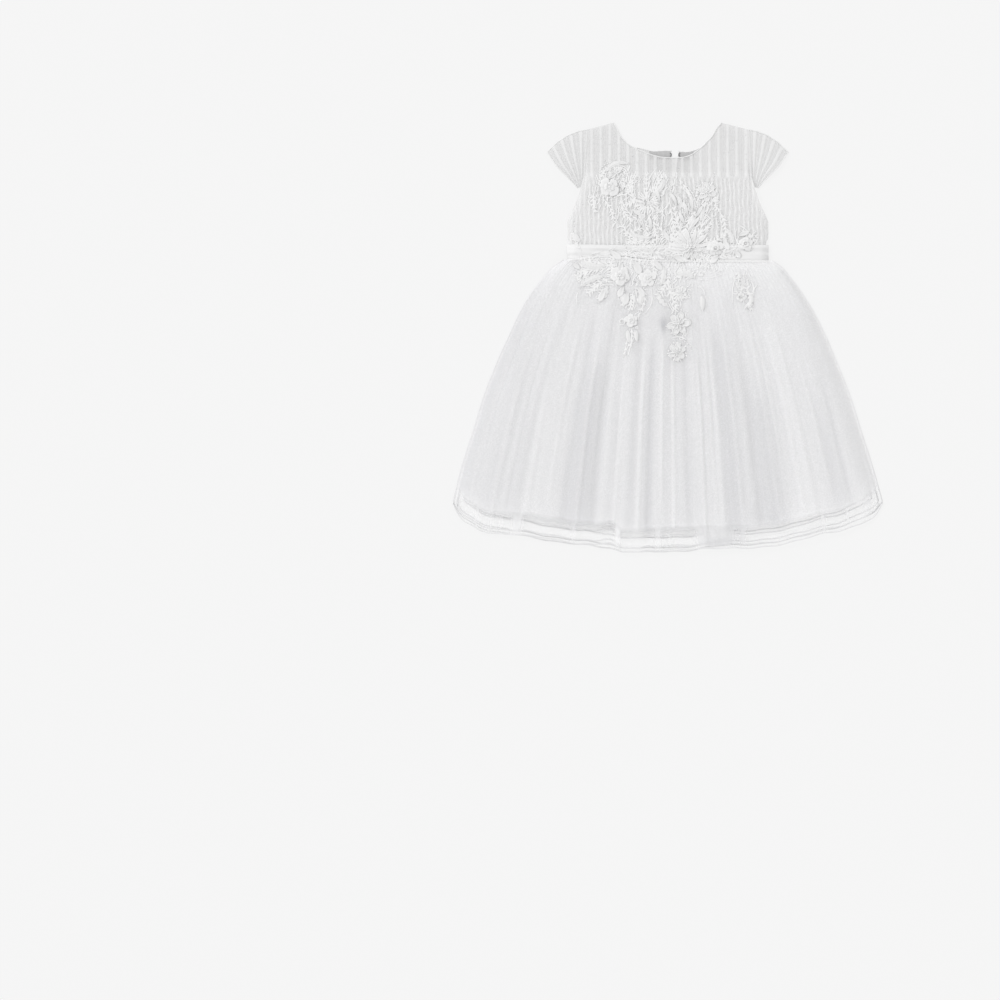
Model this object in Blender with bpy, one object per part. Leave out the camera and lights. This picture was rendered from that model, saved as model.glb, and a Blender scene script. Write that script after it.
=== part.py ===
"""A small child's tulle dress, laid flat on its back with the front up.

Lengths are millimetres until a mesh is made. X runs across the dress, Y from hem to
neck and Z up from the surface that it lies on. Every panel is a closed wall between two
height fields, and each panel lies on the ones below it.
"""
import math
from typing import NamedTuple

import bmesh
import bpy
import numpy as np
from mathutils import Vector
from mathutils.bvhtree import BVHTree

MM = 0.001

# Cloth and seams
WALL = 1.0
GAP = 0.3
PLY = WALL + GAP

# Heights on the dress, from hem to shoulder
WAIST_Y = 97.5
SASH_LOW_Y = 100.5
SASH_TOP_Y = 120.5
BAND_ROWS = (97.5, 121.5, 129.5)
YOKE_ROW = 211.5
KNEE_SHARE = 0.62
CORNER_Y = -217.0

# Bodice
BODICE_HALF = 131.0
SASH_NIP = 3.0
SASH_HALF = 131.6
SASH_LOFT = 0.4
SASH_WALL = 1.3
SASH_PUFFS = (0.0, 1.1, 0.5, 1.2, 0.6, 0.0)
SASH_SWAY = 0.35
SASH_WAVE = 23.0
SASH_CALM = 12.0
NECK_PEAK_X = 70.0
SHOULDER_X = 105.0
RIB_PITCH = 11.8
RIB_FIRST_X = -122.6
RIB_COUNT = 22
RIB_HALF = 1.7
RIB_HEIGHT = 0.9
BODICE_CROWN = 2.0
BODICE_SIDE_REACH = 40.0
BODICE_LOW_REACH = 60.0
BODICE_TOP_Y = 250.0
OVERLAY_LOFT = 0.6
SHEER_PLIES = 1.6
YOKE_DROP = 14.0
CLOSEST_RIB = 0.8
SLIT_X = 9.5
SLIT_HALF_TOP = 4.6
SLIT_END_Y = 205.0
SLIT_TOP_Y = 243.0

# Sides of the stack, where front panels come down to the back ones
SIDE_SLOPE = 0.75
SASH_SIDE_SLOPE = 0.85
SIDE_BLEND = 5.0
HEM_SLOPE = 0.6
LOFT = 1.1
LOFT_SHARE = 0.16
FOLD_RISE = 0.45
FOLD_SHARPNESS = 1.4
FOLD_FOOT = 0.62
FOLD_CALM = 26.0
SEAM_OVERLAP = 3.0
SLOPE_ROOM = 1.3
GATHER_HEIGHT = 2.0
GATHER_LENGTH = 46.0
SETTLE_REACH = 2.6
CLOSEST_OUTER = 3.5
CLOSEST_UNDER = 8.0
EDGE_STEPS_OUTER = (0, 4, 9, 14)
EDGE_STEPS_UNDER = (0, 5.5, 11)

# Rows of the skirt panels, as shares of the way from waist to hem
ROWS_OUTER = (0, 0.03, 0.09, 0.2, 0.36, 0.53, 0.70, 0.84, 0.93, 0.975, 1)
ROWS_UNDER = (0, 0.03, 0.09, 0.2, 0.42, 0.67, 0.86, 0.95, 1)
ROWS_BACK = (0, 0.08, 0.3, 0.6, 0.85, 1)


class Side(NamedTuple):
    """Where the skirt's two sides lie at one height."""
    y: float
    left: float
    right: float


SKIRT_SIDE = (
    Side(97.2, -136, 136), Side(90, -147, 147), Side(77, -160, 159), Side(45, -184, 182),
    Side(4, -205, 204), Side(-38, -224, 222), Side(-79, -240, 238), Side(-121, -253, 251),
    Side(-162, -266, 264), Side(-204, -277, 276), Side(-217, -279.5, 279.5),
)


class Hem(NamedTuple):
    """Lowest edge of the outer tulle at one place across, front and back."""
    x: float
    front: float
    back: float


SKIRT_HEM = (
    Hem(-279.5, -217, -214), Hem(-272, -232, -228), Hem(-252, -247, -243),
    Hem(-190, -257, -258), Hem(-143, -264, -266), Hem(-96, -270, -272),
    Hem(-60, -271, -278), Hem(-25, -277, -279.5), Hem(20, -276, -278),
    Hem(60, -274, -272), Hem(104, -274.5, -270), Hem(153, -268, -264),
    Hem(200, -256, -252), Hem(232, -249, -244), Hem(258, -239, -233),
    Hem(272, -230, -225), Hem(279.5, -217, -214),
)


class Layer(NamedTuple):
    """One layer of the skirt, counted from the outside in."""
    name: str
    waist_inset: float
    hem_inset: float
    hem_lift: float
    corner: float
    slot: str
    back_columns: int


SKIRT_LAYERS = (
    Layer("tulle_outer", 0, 0, 0, 0, "tulle", 22),
    Layer("tulle_middle", 4, 5, 5, 3, "tulle", 12),
    Layer("tulle_inner", 8, 14, 18, 8, "tulle", 12),
    Layer("skirt_lining", 12, 27, 29, 15, "lining", 12),
)
OUTER, MIDDLE, INNER, LINING = range(4)


class Fold(NamedTuple):
    """A soft fold that fans from the waist: its place at the hem, and its size there."""
    layer: int
    x: float
    half_width: float
    height: float
    start: float


SKIRT_FOLDS = (
    Fold(OUTER, -257, 13, 4.0, 0.30), Fold(OUTER, -232, 13, 5.5, 0.10),
    Fold(OUTER, -203, 15, 6.5, 0.00), Fold(OUTER, -171, 14, 5.0, 0.15),
    Fold(OUTER, -148, 10, 4.0, 0.35), Fold(OUTER, -112, 16, 7.5, 0.00),
    Fold(OUTER, -82, 13, 4.5, 0.20), Fold(OUTER, -56, 12, 5.5, 0.05),
    Fold(OUTER, -10, 15, 7.0, 0.00), Fold(OUTER, 18, 12, 4.0, 0.30),
    Fold(OUTER, 45, 14, 6.0, 0.05), Fold(OUTER, 76, 13, 4.5, 0.25),
    Fold(OUTER, 106, 16, 7.0, 0.00), Fold(OUTER, 135, 12, 4.5, 0.20),
    Fold(OUTER, 181, 16, 6.5, 0.05), Fold(OUTER, 210, 12, 4.0, 0.30),
    Fold(OUTER, 236, 13, 5.5, 0.10), Fold(OUTER, 259, 11, 3.5, 0.40),
    Fold(MIDDLE, -190, 26, 2.0, 0.05), Fold(MIDDLE, -92, 24, 2.5, 0.10),
    Fold(MIDDLE, 30, 28, 2.5, 0.00), Fold(MIDDLE, 120, 26, 2.0, 0.15),
    Fold(MIDDLE, 214, 24, 2.0, 0.10),
    Fold(INNER, -222, 24, 1.5, 0.20), Fold(INNER, -130, 30, 2.5, 0.05),
    Fold(INNER, 2, 30, 2.0, 0.10), Fold(INNER, 88, 30, 2.5, 0.05),
    Fold(INNER, 196, 28, 2.0, 0.15),
    Fold(LINING, -165, 38, 2.5, 0.10), Fold(LINING, -50, 36, 2.5, 0.05),
    Fold(LINING, 70, 36, 3.0, 0.05), Fold(LINING, 170, 36, 2.0, 0.15),
)


class Point(NamedTuple):
    """A point of an outline."""
    x: float
    y: float


NECK_FRONT = (
    Point(-70, 279.5), Point(-66, 272), Point(-61.5, 263.5), Point(-55, 255), Point(-46, 248.5),
    Point(-33.8, 243), Point(-20.8, 238), Point(5, 234), Point(32, 239), Point(44, 248),
    Point(51, 255), Point(58.5, 263), Point(63.5, 272), Point(70, 279.5),
)
NECK_BACK = (
    Point(-70, 279.5), Point(-66, 271.5), Point(-61, 262), Point(-54.5, 254), Point(-46, 248.8),
    Point(-33.8, 246), Point(-20.8, 243), Point(-2, 243.5), Point(9.5, 243), Point(30, 242.5),
    Point(44, 248.5), Point(51.5, 255), Point(58.5, 262.5), Point(63.5, 271), Point(70, 279.5),
)
LINING_ARM = (Point(98, 209), Point(106, 186), Point(114, 172), Point(126, 146))
SHOULDER_OUT = Point(105, 270.5)
ARMHOLE = (
    Point(105, 270.5), Point(109, 208), Point(114, 192), Point(118, 180), Point(122, 170),
    Point(127, 160), Point(131, 150),
)
SLEEVE_SEAM = (Point(105.7, 270.3), Point(109.6, 208.3), Point(113.4, 195.5))
SLEEVE_FOLD = (
    Point(105.7, 270.3), Point(116, 268.3), Point(130, 263), Point(144, 253.8), Point(157, 241),
)
SLEEVE_HEM = (
    Point(157, 241), Point(144, 222), Point(133, 211), Point(124, 201.5), Point(117.5, 194.5),
)
# Shares of the sleeve: ribs from seam to hem, rows down each side of the fold
SLEEVE_RIBS = (0.13, 0.36, 0.59, 0.82)
SLEEVE_LOFT = 2.6
SLEEVE_RIB_HALF = 0.035
SLEEVE_DOWNS = (1.0, 0.72, 0.45, 0.22, 0.07, 0.0, 0.07, 0.22, 0.45, 0.72, 1.0)
SLEEVE_WALL_SHARE = 0.028
SLEEVE_SEAM_LOFT = 0.35


class Flower(NamedTuple):
    """A raised lace flower: its centre, its radius, its petals and its turn in degrees."""
    name: str
    x: float
    y: float
    radius: float
    petals: int
    height: float
    turn: float


FLOWERS = (
    Flower("flower_bodice_left", -75.9, 195.4, 15.0, 6, 5.0, 10),
    Flower("flower_bodice_right", 49.4, 188.5, 12.5, 5, 4.5, 40),
    Flower("flower_waist_main", 28.6, 115.7, 17.0, 6, 7.0, 0),
    Flower("flower_waist_right", 61.6, 116.4, 12.5, 5, 6.0, 24),
    Flower("flower_waist_end", 101.4, 122.2, 11.5, 5, 4.5, 12),
    Flower("flower_skirt_left", -62.4, 78.0, 15.5, 5, 6.5, 54),
    Flower("flower_skirt_middle", -26.0, 75.9, 13.0, 6, 5.5, 20),
    Flower("flower_skirt_low_left", -48.1, 22.1, 10.4, 5, 5.0, 30),
    Flower("flower_skirt_centre", 14.3, 17.6, 16.0, 5, 6.5, 8),
    Flower("flower_skirt_tip", 11.7, -19.5, 12.0, 6, 5.0, 25),
    Flower("flower_skirt_half", 15.6, 57.5, 9.5, 5, 4.5, 45),
    Flower("blossom_bodice_1", -33.0, 173.6, 4.6, 5, 2.6, 0),
    Flower("blossom_bodice_2", -22.2, 174.2, 4.6, 5, 2.6, 30),
    Flower("blossom_skirt_1", 93.6, 69.0, 6.6, 5, 3.4, 15),
    Flower("blossom_skirt_2", 94.6, 51.4, 6.6, 5, 3.4, 50),
)


class Leaf(NamedTuple):
    """A raised lace leaf: its two ends, its half width, its side bend and its lobes."""
    name: str
    start: Point
    end: Point
    half_width: float
    bend: float
    lobes: int


LEAVES = (
    Leaf("leaf_bodice_arch", Point(-82, 215), Point(-49, 226), 3.2, 6, 0),
    Leaf("leaf_bodice_up", Point(-4, 206), Point(-22, 184), 3.6, 3, 0),
    Leaf("leaf_bodice_centre", Point(13, 186), Point(32, 162), 3.2, -4, 4),
    Leaf("leaf_bodice_stem", Point(34, 157), Point(24, 136), 2.8, 3, 0),
    Leaf("leaf_bodice_small", Point(43, 170), Point(42, 150), 3.4, 2, 0),
    Leaf("leaf_bodice_sprig", Point(-47, 166), Point(-31, 149), 3.2, 3, 3),
    Leaf("scroll_waist_1", Point(-50, 137), Point(-18, 130), 3.2, -4, 4),
    Leaf("scroll_waist_2", Point(-46, 112), Point(-14, 106), 3.2, 5, 4),
    Leaf("leaf_waist_thin", Point(76, 141), Point(86, 119), 2.8, 2, 0),
    Leaf("leaf_waist_left", Point(-124, 134), Point(-114, 124), 4.0, 0, 0),
    Leaf("fern_left_1", Point(-82, 92), Point(-117, 99), 4.6, 3, 5),
    Leaf("fern_left_2", Point(-84, 79), Point(-116, 64), 4.6, -3, 5),
    Leaf("fern_left_3", Point(-78, 66), Point(-92, 44), 4.2, 2, 4),
    Leaf("petal_left_low", Point(-60, 58), Point(-55, 41), 4.2, 0, 0),
    Leaf("petal_middle_low", Point(-34, 58), Point(-36, 41), 3.8, 0, 0),
    Leaf("drop_left_1", Point(-53, 9), Point(-51, -8), 2.8, 0, 0),
    Leaf("drop_left_2", Point(-43, 9), Point(-40, -7), 2.8, 0, 0),
    Leaf("fern_centre", Point(-6, 92), Point(-10, 66), 4.4, 2, 4),
    Leaf("fan_centre", Point(10, 82), Point(36, 76), 4.4, 3, 4),
    Leaf("fern_stem", Point(-14, 58), Point(2, 38), 3.6, -3, 4),
    Leaf("drop_right", Point(44, 54), Point(45, 34), 3.4, 0, 0),
    Leaf("leaf_skirt_right", Point(108, 56), Point(104, 36), 3.2, 2, 0),
)

# Metal fastener at the top of the back opening
FASTENER_Y = 237.8
HOOK_X = 3.2
EYE_X = 15.8
WIRE_RADIUS = 0.55
WIRE_SIDES = 8
FASTENER_HALF = 1.9
FASTENER_BOW = 1.6

FINISHES = {
    "tulle": ((0.92, 0.92, 0.93, 1.0), 0.85, 0.0),
    "lining": ((0.93, 0.93, 0.94, 1.0), 0.55, 0.0),
    "overlay": ((0.88, 0.88, 0.89, 1.0), 0.7, 0.0),
    "sash": ((0.95, 0.95, 0.96, 1.0), 0.4, 0.0),
    "applique": ((0.96, 0.96, 0.96, 1.0), 0.6, 0.0),
    "metal": ((0.10, 0.10, 0.11, 1.0), 0.35, 0.9),
}


def remove_all_objects():
    """Start from an empty scene."""
    for each in list(bpy.data.objects):
        bpy.data.objects.remove(each, do_unlink=True)


def finish(slot):
    """The material of a slot, made once."""
    found = bpy.data.materials.get(slot)
    if found:
        return found
    colour, roughness, metallic = FINISHES[slot]
    made = bpy.data.materials.new(slot)
    made.use_nodes = True
    shader = made.node_tree.nodes["Principled BSDF"]
    shader.inputs["Base Color"].default_value = colour
    shader.inputs["Roughness"].default_value = roughness
    shader.inputs["Metallic"].default_value = metallic
    made.diffuse_color = colour
    return made


def make_object(name, points, faces, slot):
    """One closed body from points in millimetres and faces, facing out."""
    body = bmesh.new()
    verts = [body.verts.new(Vector(point) * MM) for point in points]
    for face in faces:
        body.faces.new([verts[index] for index in face])
    bmesh.ops.recalc_face_normals(body, faces=body.faces)
    mesh = bpy.data.meshes.new(name)
    body.to_mesh(mesh)
    body.free()
    mesh.materials.append(finish(slot))
    mesh.shade_smooth()
    mesh.set_sharp_from_angle(angle=math.radians(50))
    made = bpy.data.objects.new(name, mesh)
    bpy.context.scene.collection.objects.link(made)
    return made


def grid_faces(rows, columns, first, flipped):
    """Quads of a grid of points numbered row by row from first."""
    faces = []
    for row in range(rows - 1):
        for column in range(columns - 1):
            corner = first + row * columns + column
            quad = (corner, corner + 1, corner + columns + 1, corner + columns)
            faces.append(quad[::-1] if flipped else quad)
    return faces


def rim_indices(rows, columns):
    """The edge of a grid of points, once round."""
    edge = list(range(columns))
    edge += [row * columns + columns - 1 for row in range(1, rows)]
    edge += [(rows - 1) * columns + column for column in range(columns - 2, -1, -1)]
    edge += [row * columns for row in range(rows - 2, 0, -1)]
    return edge


def sheet_wall(name, x, y, low, high, slot):
    """A closed wall on one plan grid, from the height field low up to high."""
    rows, columns = x.shape
    count = rows * columns
    points = np.concatenate([
        np.stack([x, y, low], axis=-1).reshape(-1, 3),
        np.stack([x, y, high], axis=-1).reshape(-1, 3),
    ])
    faces = grid_faces(rows, columns, 0, True) + grid_faces(rows, columns, count, False)
    edge = rim_indices(rows, columns)
    for here, after in zip(edge, edge[1:] + edge[:1]):
        faces.append((here, after, after + count, here + count))
    return make_object(name, points.tolist(), faces, slot)


def curve_at(xs, ys, at):
    """A smooth curve through the points (xs, ys), read at some places."""
    xs = np.asarray(xs, float)
    ys = np.asarray(ys, float)
    at = np.clip(np.asarray(at, float), xs[0], xs[-1])
    slopes = np.gradient(ys, xs)
    cell = np.clip(np.searchsorted(xs, at, side="right") - 1, 0, len(xs) - 2)
    width = xs[cell + 1] - xs[cell]
    t = (at - xs[cell]) / width
    start = ys[cell] * (1 + 2 * t) * (1 - t) ** 2 + ys[cell + 1] * t * t * (3 - 2 * t)
    return start + width * (slopes[cell] * t * (1 - t) ** 2 - slopes[cell + 1] * t * t * (1 - t))


def smooth_step(t):
    """0 below 0, 1 above 1, and an even rise between."""
    t = np.clip(t, 0.0, 1.0)
    return t * t * (3 - 2 * t)


def smooth_min(a, b, blend):
    """The lower of two heights, with a rounded change from one to the other."""
    share = np.clip(0.5 + 0.5 * (b - a) / blend, 0.0, 1.0)
    return b * (1 - share) + a * share - blend * share * (1 - share)


def thickened(height, x, y):
    """The upper side of a wall whose lower side is the height field, one WALL thick."""
    reach = 0.5
    across = (height(x + reach, y) - height(x - reach, y)) / (2 * reach)
    along = (height(x, y + reach) - height(x, y - reach)) / (2 * reach)
    return height(x, y) + WALL * np.sqrt(1 + across ** 2 + along ** 2)


# Skirt

def skirt_left(y):
    """Left side of the outer skirt at a height."""
    rows = sorted(SKIRT_SIDE)
    return curve_at([row.y for row in rows], [row.left for row in rows], y)


def skirt_right(y):
    """Right side of the outer skirt at a height."""
    rows = sorted(SKIRT_SIDE)
    return curve_at([row.y for row in rows], [row.right for row in rows], y)


def skirt_hem(x, is_front):
    """Hem of the outer tulle across the dress."""
    ys = [row.front if is_front else row.back for row in SKIRT_HEM]
    return curve_at([row.x for row in SKIRT_HEM], ys, x)


def layer_inset(layer, y):
    """How far in from the outer skirt a layer's side lies."""
    down = np.clip((WAIST_Y - y) / (WAIST_Y - CORNER_Y), 0, 1)
    return layer.waist_inset + (layer.hem_inset - layer.waist_inset) * down


def layer_hem(layer, x, is_front):
    """Hem of a layer across the dress."""
    out = np.abs(x) / (SKIRT_SIDE[-1].right - layer.hem_inset)
    return skirt_hem(x, is_front) + layer.hem_lift + layer.corner * out ** 6


def skirt_folds(order, x, y):
    """Height of the folds of this layer and of those under it."""
    half = np.where(x < 0, -skirt_left(y), skirt_right(y))
    down = (WAIST_Y - y) / (WAIST_Y - skirt_hem(x, True))
    total = np.zeros_like(x)
    for fold in SKIRT_FOLDS:
        if fold.layer < order:
            continue
        away = (x / half - fold.x / SKIRT_SIDE[-1].right) * SKIRT_SIDE[-1].right / fold.half_width
        rise = smooth_step((down - fold.start) / FOLD_RISE)
        total = total + fold.height * rise * np.exp(-away * away * FOLD_SHARPNESS)
    outer_side = np.minimum(x - skirt_left(y), skirt_right(y) - x)
    return total * smooth_step(outer_side / FOLD_CALM)


def front_height(order, x, y):
    """Lower side of a front layer of the skirt."""
    layer = SKIRT_LAYERS[order]
    inset = layer_inset(layer, y)
    side = np.minimum(x - skirt_left(y), skirt_right(y) - x) - inset
    hem = y - layer_hem(layer, x, True)
    down = (WAIST_Y - y) / (WAIST_Y - CORNER_Y)
    plies = 2 * len(SKIRT_LAYERS) - 1 - order
    loft = LOFT * (len(SKIRT_LAYERS) - order) * smooth_step(down / LOFT_SHARE)
    full = plies * PLY + loft
    edge = (order + 1) * PLY
    body = smooth_min(edge + SIDE_SLOPE * side, full, SIDE_BLEND)
    body = smooth_min(body, edge + HEM_SLOPE * hem, SIDE_BLEND)
    body = np.maximum(body, edge)
    height = body + skirt_folds(order, x, y)
    if order < LINING:
        below = SKIRT_LAYERS[order + 1]
        inside = side > below.waist_inset - layer.waist_inset - SEAM_OVERLAP
        inside &= y > layer_hem(below, x, True) - SEAM_OVERLAP
        under = front_height(order + 1, x, y) + WALL * SLOPE_ROOM + GAP
        height = np.where(inside, np.maximum(height, under), height)
    return height


def skirt_columns(order):
    """Places across a front layer, from -1 to 1, at the folds that it shows."""
    half = SKIRT_SIDE[-1].right
    edges = [half - step for step in (EDGE_STEPS_OUTER if order == OUTER else EDGE_STEPS_UNDER)]
    places = set()
    for fold in SKIRT_FOLDS:
        if fold.layer == order or (order > OUTER and fold.layer >= order):
            step = fold.half_width * FOLD_FOOT
            places |= {fold.x - step, fold.x, fold.x + step}
            if order == LINING:
                places |= {fold.x - 2 * step, fold.x + 2 * step}
    closest = CLOSEST_OUTER if order == OUTER else CLOSEST_UNDER
    kept = [-edge for edge in edges]
    for place in sorted(places):
        if place - kept[-1] > closest and edges[-1] - place > closest:
            kept.append(place)
    return np.array(kept + edges[::-1]) / half


def skirt_plan(layer, columns, downs, is_front):
    """Plan grid of a skirt panel: rows from the waist down, columns from left to right."""
    y_side = WAIST_Y - GAP + (CORNER_Y - WAIST_Y + GAP) * downs[:, None]
    inset = layer_inset(layer, y_side)
    left = skirt_left(y_side) + inset
    right = skirt_right(y_side) - inset
    x = left + (right - left) * (columns[None, :] + 1) / 2
    hem_x = x[-1:, :]
    y_top = WAIST_Y - GAP
    y = y_top + (layer_hem(layer, hem_x, is_front) - y_top) * downs[:, None]
    return x, y


def settled(support, x, y, reach):
    """Heights that clear what lies under each point of a plan grid."""
    over = [support.over(at_x, at_y, reach) for at_x, at_y in zip(x.ravel(), y.ravel())]
    return np.array(over).reshape(x.shape)


def skirt_front(order, support):
    """A gathered front panel, with its folds fanning down to the hem."""
    layer = SKIRT_LAYERS[order]
    downs = np.array(ROWS_OUTER if order == OUTER else ROWS_UNDER)
    x, y = skirt_plan(layer, skirt_columns(order), downs, True)

    def height(at_x, at_y):
        return front_height(order, at_x, at_y)

    low = height(x, y)
    high = thickened(height, x, y)
    lift = np.maximum(settled(support, x, y, SETTLE_REACH) - low, 0)
    low = low + lift
    high = high + lift
    if order == OUTER:
        fade = 1 - smooth_step((WAIST_Y - y) / GATHER_LENGTH)
        crest = np.arange(x.shape[1]) % 2
        crest[0] = crest[-1] = 0
        low = low + GATHER_HEIGHT * fade * crest
        high = high + GATHER_HEIGHT * fade * crest
    return sheet_wall(layer.name + "_front", x, y, low, high, layer.slot)


def skirt_back(order):
    """A back panel, which lies flat under the front."""
    layer = SKIRT_LAYERS[order]
    columns = np.linspace(-1, 1, layer.back_columns + 1)
    x, y = skirt_plan(layer, columns, np.array(ROWS_BACK), False)
    low = np.full_like(x, order * PLY)
    return sheet_wall(layer.name + "_back", x, y, low, low + WALL, layer.slot)


# Bodice

def sash_lift(y):
    """The band under the back raises everything over it by one ply."""
    return PLY * np.clip((BAND_ROWS[2] - y) / (BAND_ROWS[2] - BAND_ROWS[1]), 0, 1)


def bodice_half(y):
    """Half width of the bodice at a height, below the armhole."""
    return BODICE_HALF - SASH_NIP * smooth_step((SASH_TOP_Y + 10 - y) / 9.0)


def bodice_top(x, neck):
    """Top edge of a bodice panel: neckline, shoulder and armhole."""
    out = np.abs(x)
    neckline = curve_at([p.x for p in neck], [p.y for p in neck], x)
    shoulder = np.interp(out, [NECK_PEAK_X, SHOULDER_OUT.x], [neck[-1].y, SHOULDER_OUT.y])
    armhole = np.interp(out, [p.x for p in ARMHOLE], [p.y for p in ARMHOLE])
    return np.where(out <= NECK_PEAK_X, neckline, np.where(out <= SHOULDER_X, shoulder, armhole))


def lining_top(x):
    """Top edge of the lining: straight across, then down round the armholes."""
    return np.interp(np.abs(x), [p.x for p in LINING_ARM], [p.y for p in LINING_ARM])


def bodice_plan(places, shares, top):
    """Plan grid of a bodice panel: three rows at the band, then shares of the way to the top."""
    knee = np.where(top > YOKE_ROW + 10, YOKE_ROW, BAND_ROWS[-1] + (top - BAND_ROWS[-1]) * KNEE_SHARE)
    band = [np.full_like(top, row) for row in BAND_ROWS]
    middle = [BAND_ROWS[-1] + (knee - BAND_ROWS[-1]) * share for share in (0.5, 1.0)]
    above = [knee + (top - knee) * share for share in shares]
    y = np.array(band + middle + above)
    x = places[None, :] * bodice_half(y) / BODICE_HALF
    return x, y


def rib_places():
    """Places of the stitched ribs across the bodice."""
    return [RIB_FIRST_X + RIB_PITCH * index for index in range(RIB_COUNT)]


def ribbed_columns(low, high):
    """Columns between two places: the foot, crest and foot of each rib, and the outline's own."""
    places = {low, high}
    for rib in rib_places():
        places |= {rib - RIB_HALF, rib, rib + RIB_HALF}
    for corner in (NECK_PEAK_X, SHOULDER_X, ARMHOLE[1].x, ARMHOLE[2].x):
        places |= {-corner, corner}
    inside = sorted(place for place in places if low <= place <= high)
    kept = [inside[0]]
    for place in inside[1:]:
        near = place - kept[-1] < CLOSEST_RIB
        if near and place in (-NECK_PEAK_X, NECK_PEAK_X, -SHOULDER_X, SHOULDER_X, high):
            kept[-1] = place
        elif not near:
            kept.append(place)
    return np.array(kept)


def bodice_rise(x, y):
    """Soft rise of the front over the back, none at the sides and the neck."""
    side = bodice_half(y) - np.abs(x)
    low = smooth_step((y - WAIST_Y) / BODICE_LOW_REACH + 0.5)
    top = smooth_step((BODICE_TOP_Y - y) / BODICE_LOW_REACH)
    return BODICE_CROWN * smooth_step(side / BODICE_SIDE_REACH) * low * top


def lining_front_height(x, y):
    """Lower side of the front lining, on the back's two plies."""
    return 2 * PLY + sash_lift(y) + bodice_rise(x, y)


def overlay_front_height(x, y):
    """Lower side of the striped front, which comes down to the back at its edges."""
    side = bodice_half(y) - np.abs(x)
    full = 3 * PLY + OVERLAY_LOFT + bodice_rise(x, y)
    sheer = SHEER_PLIES * PLY + bodice_rise(x, y)
    over = full + (sheer - full) * smooth_step((y - YOKE_ROW) / YOKE_DROP)
    return sash_lift(y) + smooth_min(PLY + SIDE_SLOPE * side, over, 1.0)


def bodice_front():
    """The striped front, its ribs raised in the outer side alone."""
    places = ribbed_columns(-BODICE_HALF, BODICE_HALF)
    x, y = bodice_plan(places, (0.4, 1.0), bodice_top(places, NECK_FRONT))
    low = overlay_front_height(x, y)
    high = thickened(overlay_front_height, x, y)
    crest = np.array([min(abs(place - rib) for rib in rib_places()) < 0.1 for place in places])
    inside = (np.abs(places) < BODICE_HALF - 1.0) & (np.abs(np.abs(places) - SHOULDER_X) > 0.5)
    above_sash = smooth_step((y - SASH_TOP_Y - 1.0) / 4.0)
    high = high + RIB_HEIGHT * above_sash * (crest & inside)[None, :]
    return sheet_wall("bodice_front", x, y, low, high, "overlay")


def bodice_front_lining():
    """The opaque lining under the front, with its straight top edge."""
    arm = [p.x for p in LINING_ARM[1:]]
    middle = np.linspace(-LINING_ARM[0].x, LINING_ARM[0].x, 11)
    places = np.concatenate([[-x for x in arm[::-1]], middle, arm])
    x, y = bodice_plan(places, (1.0,), lining_top(places))
    low = lining_front_height(x, y)
    high = thickened(lining_front_height, x, y)
    return sheet_wall("bodice_front_lining", x, y, low, high, "lining")


def slit_edge(y, side):
    """Edge of the back opening: a narrow notch at the neck, closed below."""
    open_share = np.clip((y - SLIT_END_Y) / (SLIT_TOP_Y - SLIT_END_Y), 0, 1)
    return SLIT_X + side * (GAP / 2 + (SLIT_HALF_TOP - GAP / 2) * open_share)


def bodice_back(side, name):
    """One half of the back, flat on the surface, ending at the back opening."""
    outer = side * BODICE_HALF
    stops = (SHOULDER_X, ARMHOLE[1].x, ARMHOLE[2].x, ARMHOLE[4].x)
    inner = np.linspace(SLIT_X, side * NECK_PEAK_X, 7)
    places = np.concatenate([inner, [side * stop for stop in stops], [outer]])
    x, y = bodice_plan(places, (0.5, 1.0), bodice_top(places, NECK_BACK))
    share = np.abs(places - outer) / abs(outer - SLIT_X)
    x = x + (slit_edge(y, side) - SLIT_X) * share[None, :] ** 4
    low = sash_lift(y)
    return sheet_wall(name, x, y, low, low + WALL, "overlay")


def bodice_back_lining(side, name):
    """The lining of one half of the back."""
    inner = np.linspace(SLIT_X + side * (GAP / 2 + 1.0), side * LINING_ARM[0].x, 4)
    places = np.concatenate([inner, [side * p.x for p in LINING_ARM[1:]]])
    x, y = bodice_plan(places, (1.0,), lining_top(places))
    low = PLY + sash_lift(y)
    return sheet_wall(name, x, y, low, low + WALL, "lining")


def sash_front():
    """The satin band over the front, in two soft lengthwise folds."""
    places = np.concatenate([[-1, -0.975, -0.94], np.linspace(-0.88, 0.88, 15), [0.94, 0.975, 1]])
    x, y = np.meshgrid(places * SASH_HALF, np.linspace(SASH_LOW_Y, SASH_TOP_Y, len(SASH_PUFFS)))
    side = SASH_HALF - np.abs(x)
    bodice = overlay_front_height(np.clip(x, -BODICE_HALF, BODICE_HALF), y) + WALL * SLOPE_ROOM + GAP
    low = smooth_min(PLY + SASH_SIDE_SLOPE * side, bodice + SASH_LOFT, 1.0)
    puff = np.array(SASH_PUFFS)[:, None] * (1 + SASH_SWAY * np.sin(x / SASH_WAVE))
    high = low + SASH_WALL + puff * smooth_step(side / SASH_CALM)
    return sheet_wall("sash_front", x, y, low, high, "sash")


def sash_back():
    """The back of the band, flat on the surface."""
    x, y = np.meshgrid(np.linspace(-SASH_HALF, SASH_HALF, 9), np.linspace(SASH_LOW_Y, SASH_TOP_Y, 3))
    return sheet_wall("sash_back", x, y, np.zeros_like(x), np.full_like(x, WALL), "sash")


# Sleeves

def sleeve_edge(points, share):
    """A point along an outline of the sleeve, by its share of the length."""
    xs = [p.x for p in points]
    ys = [p.y for p in points]
    steps = np.hypot(np.diff(xs), np.diff(ys))
    run = np.concatenate([[0], np.cumsum(steps)]) / steps.sum()
    return np.interp(share, run, xs), np.interp(share, run, ys)


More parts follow.
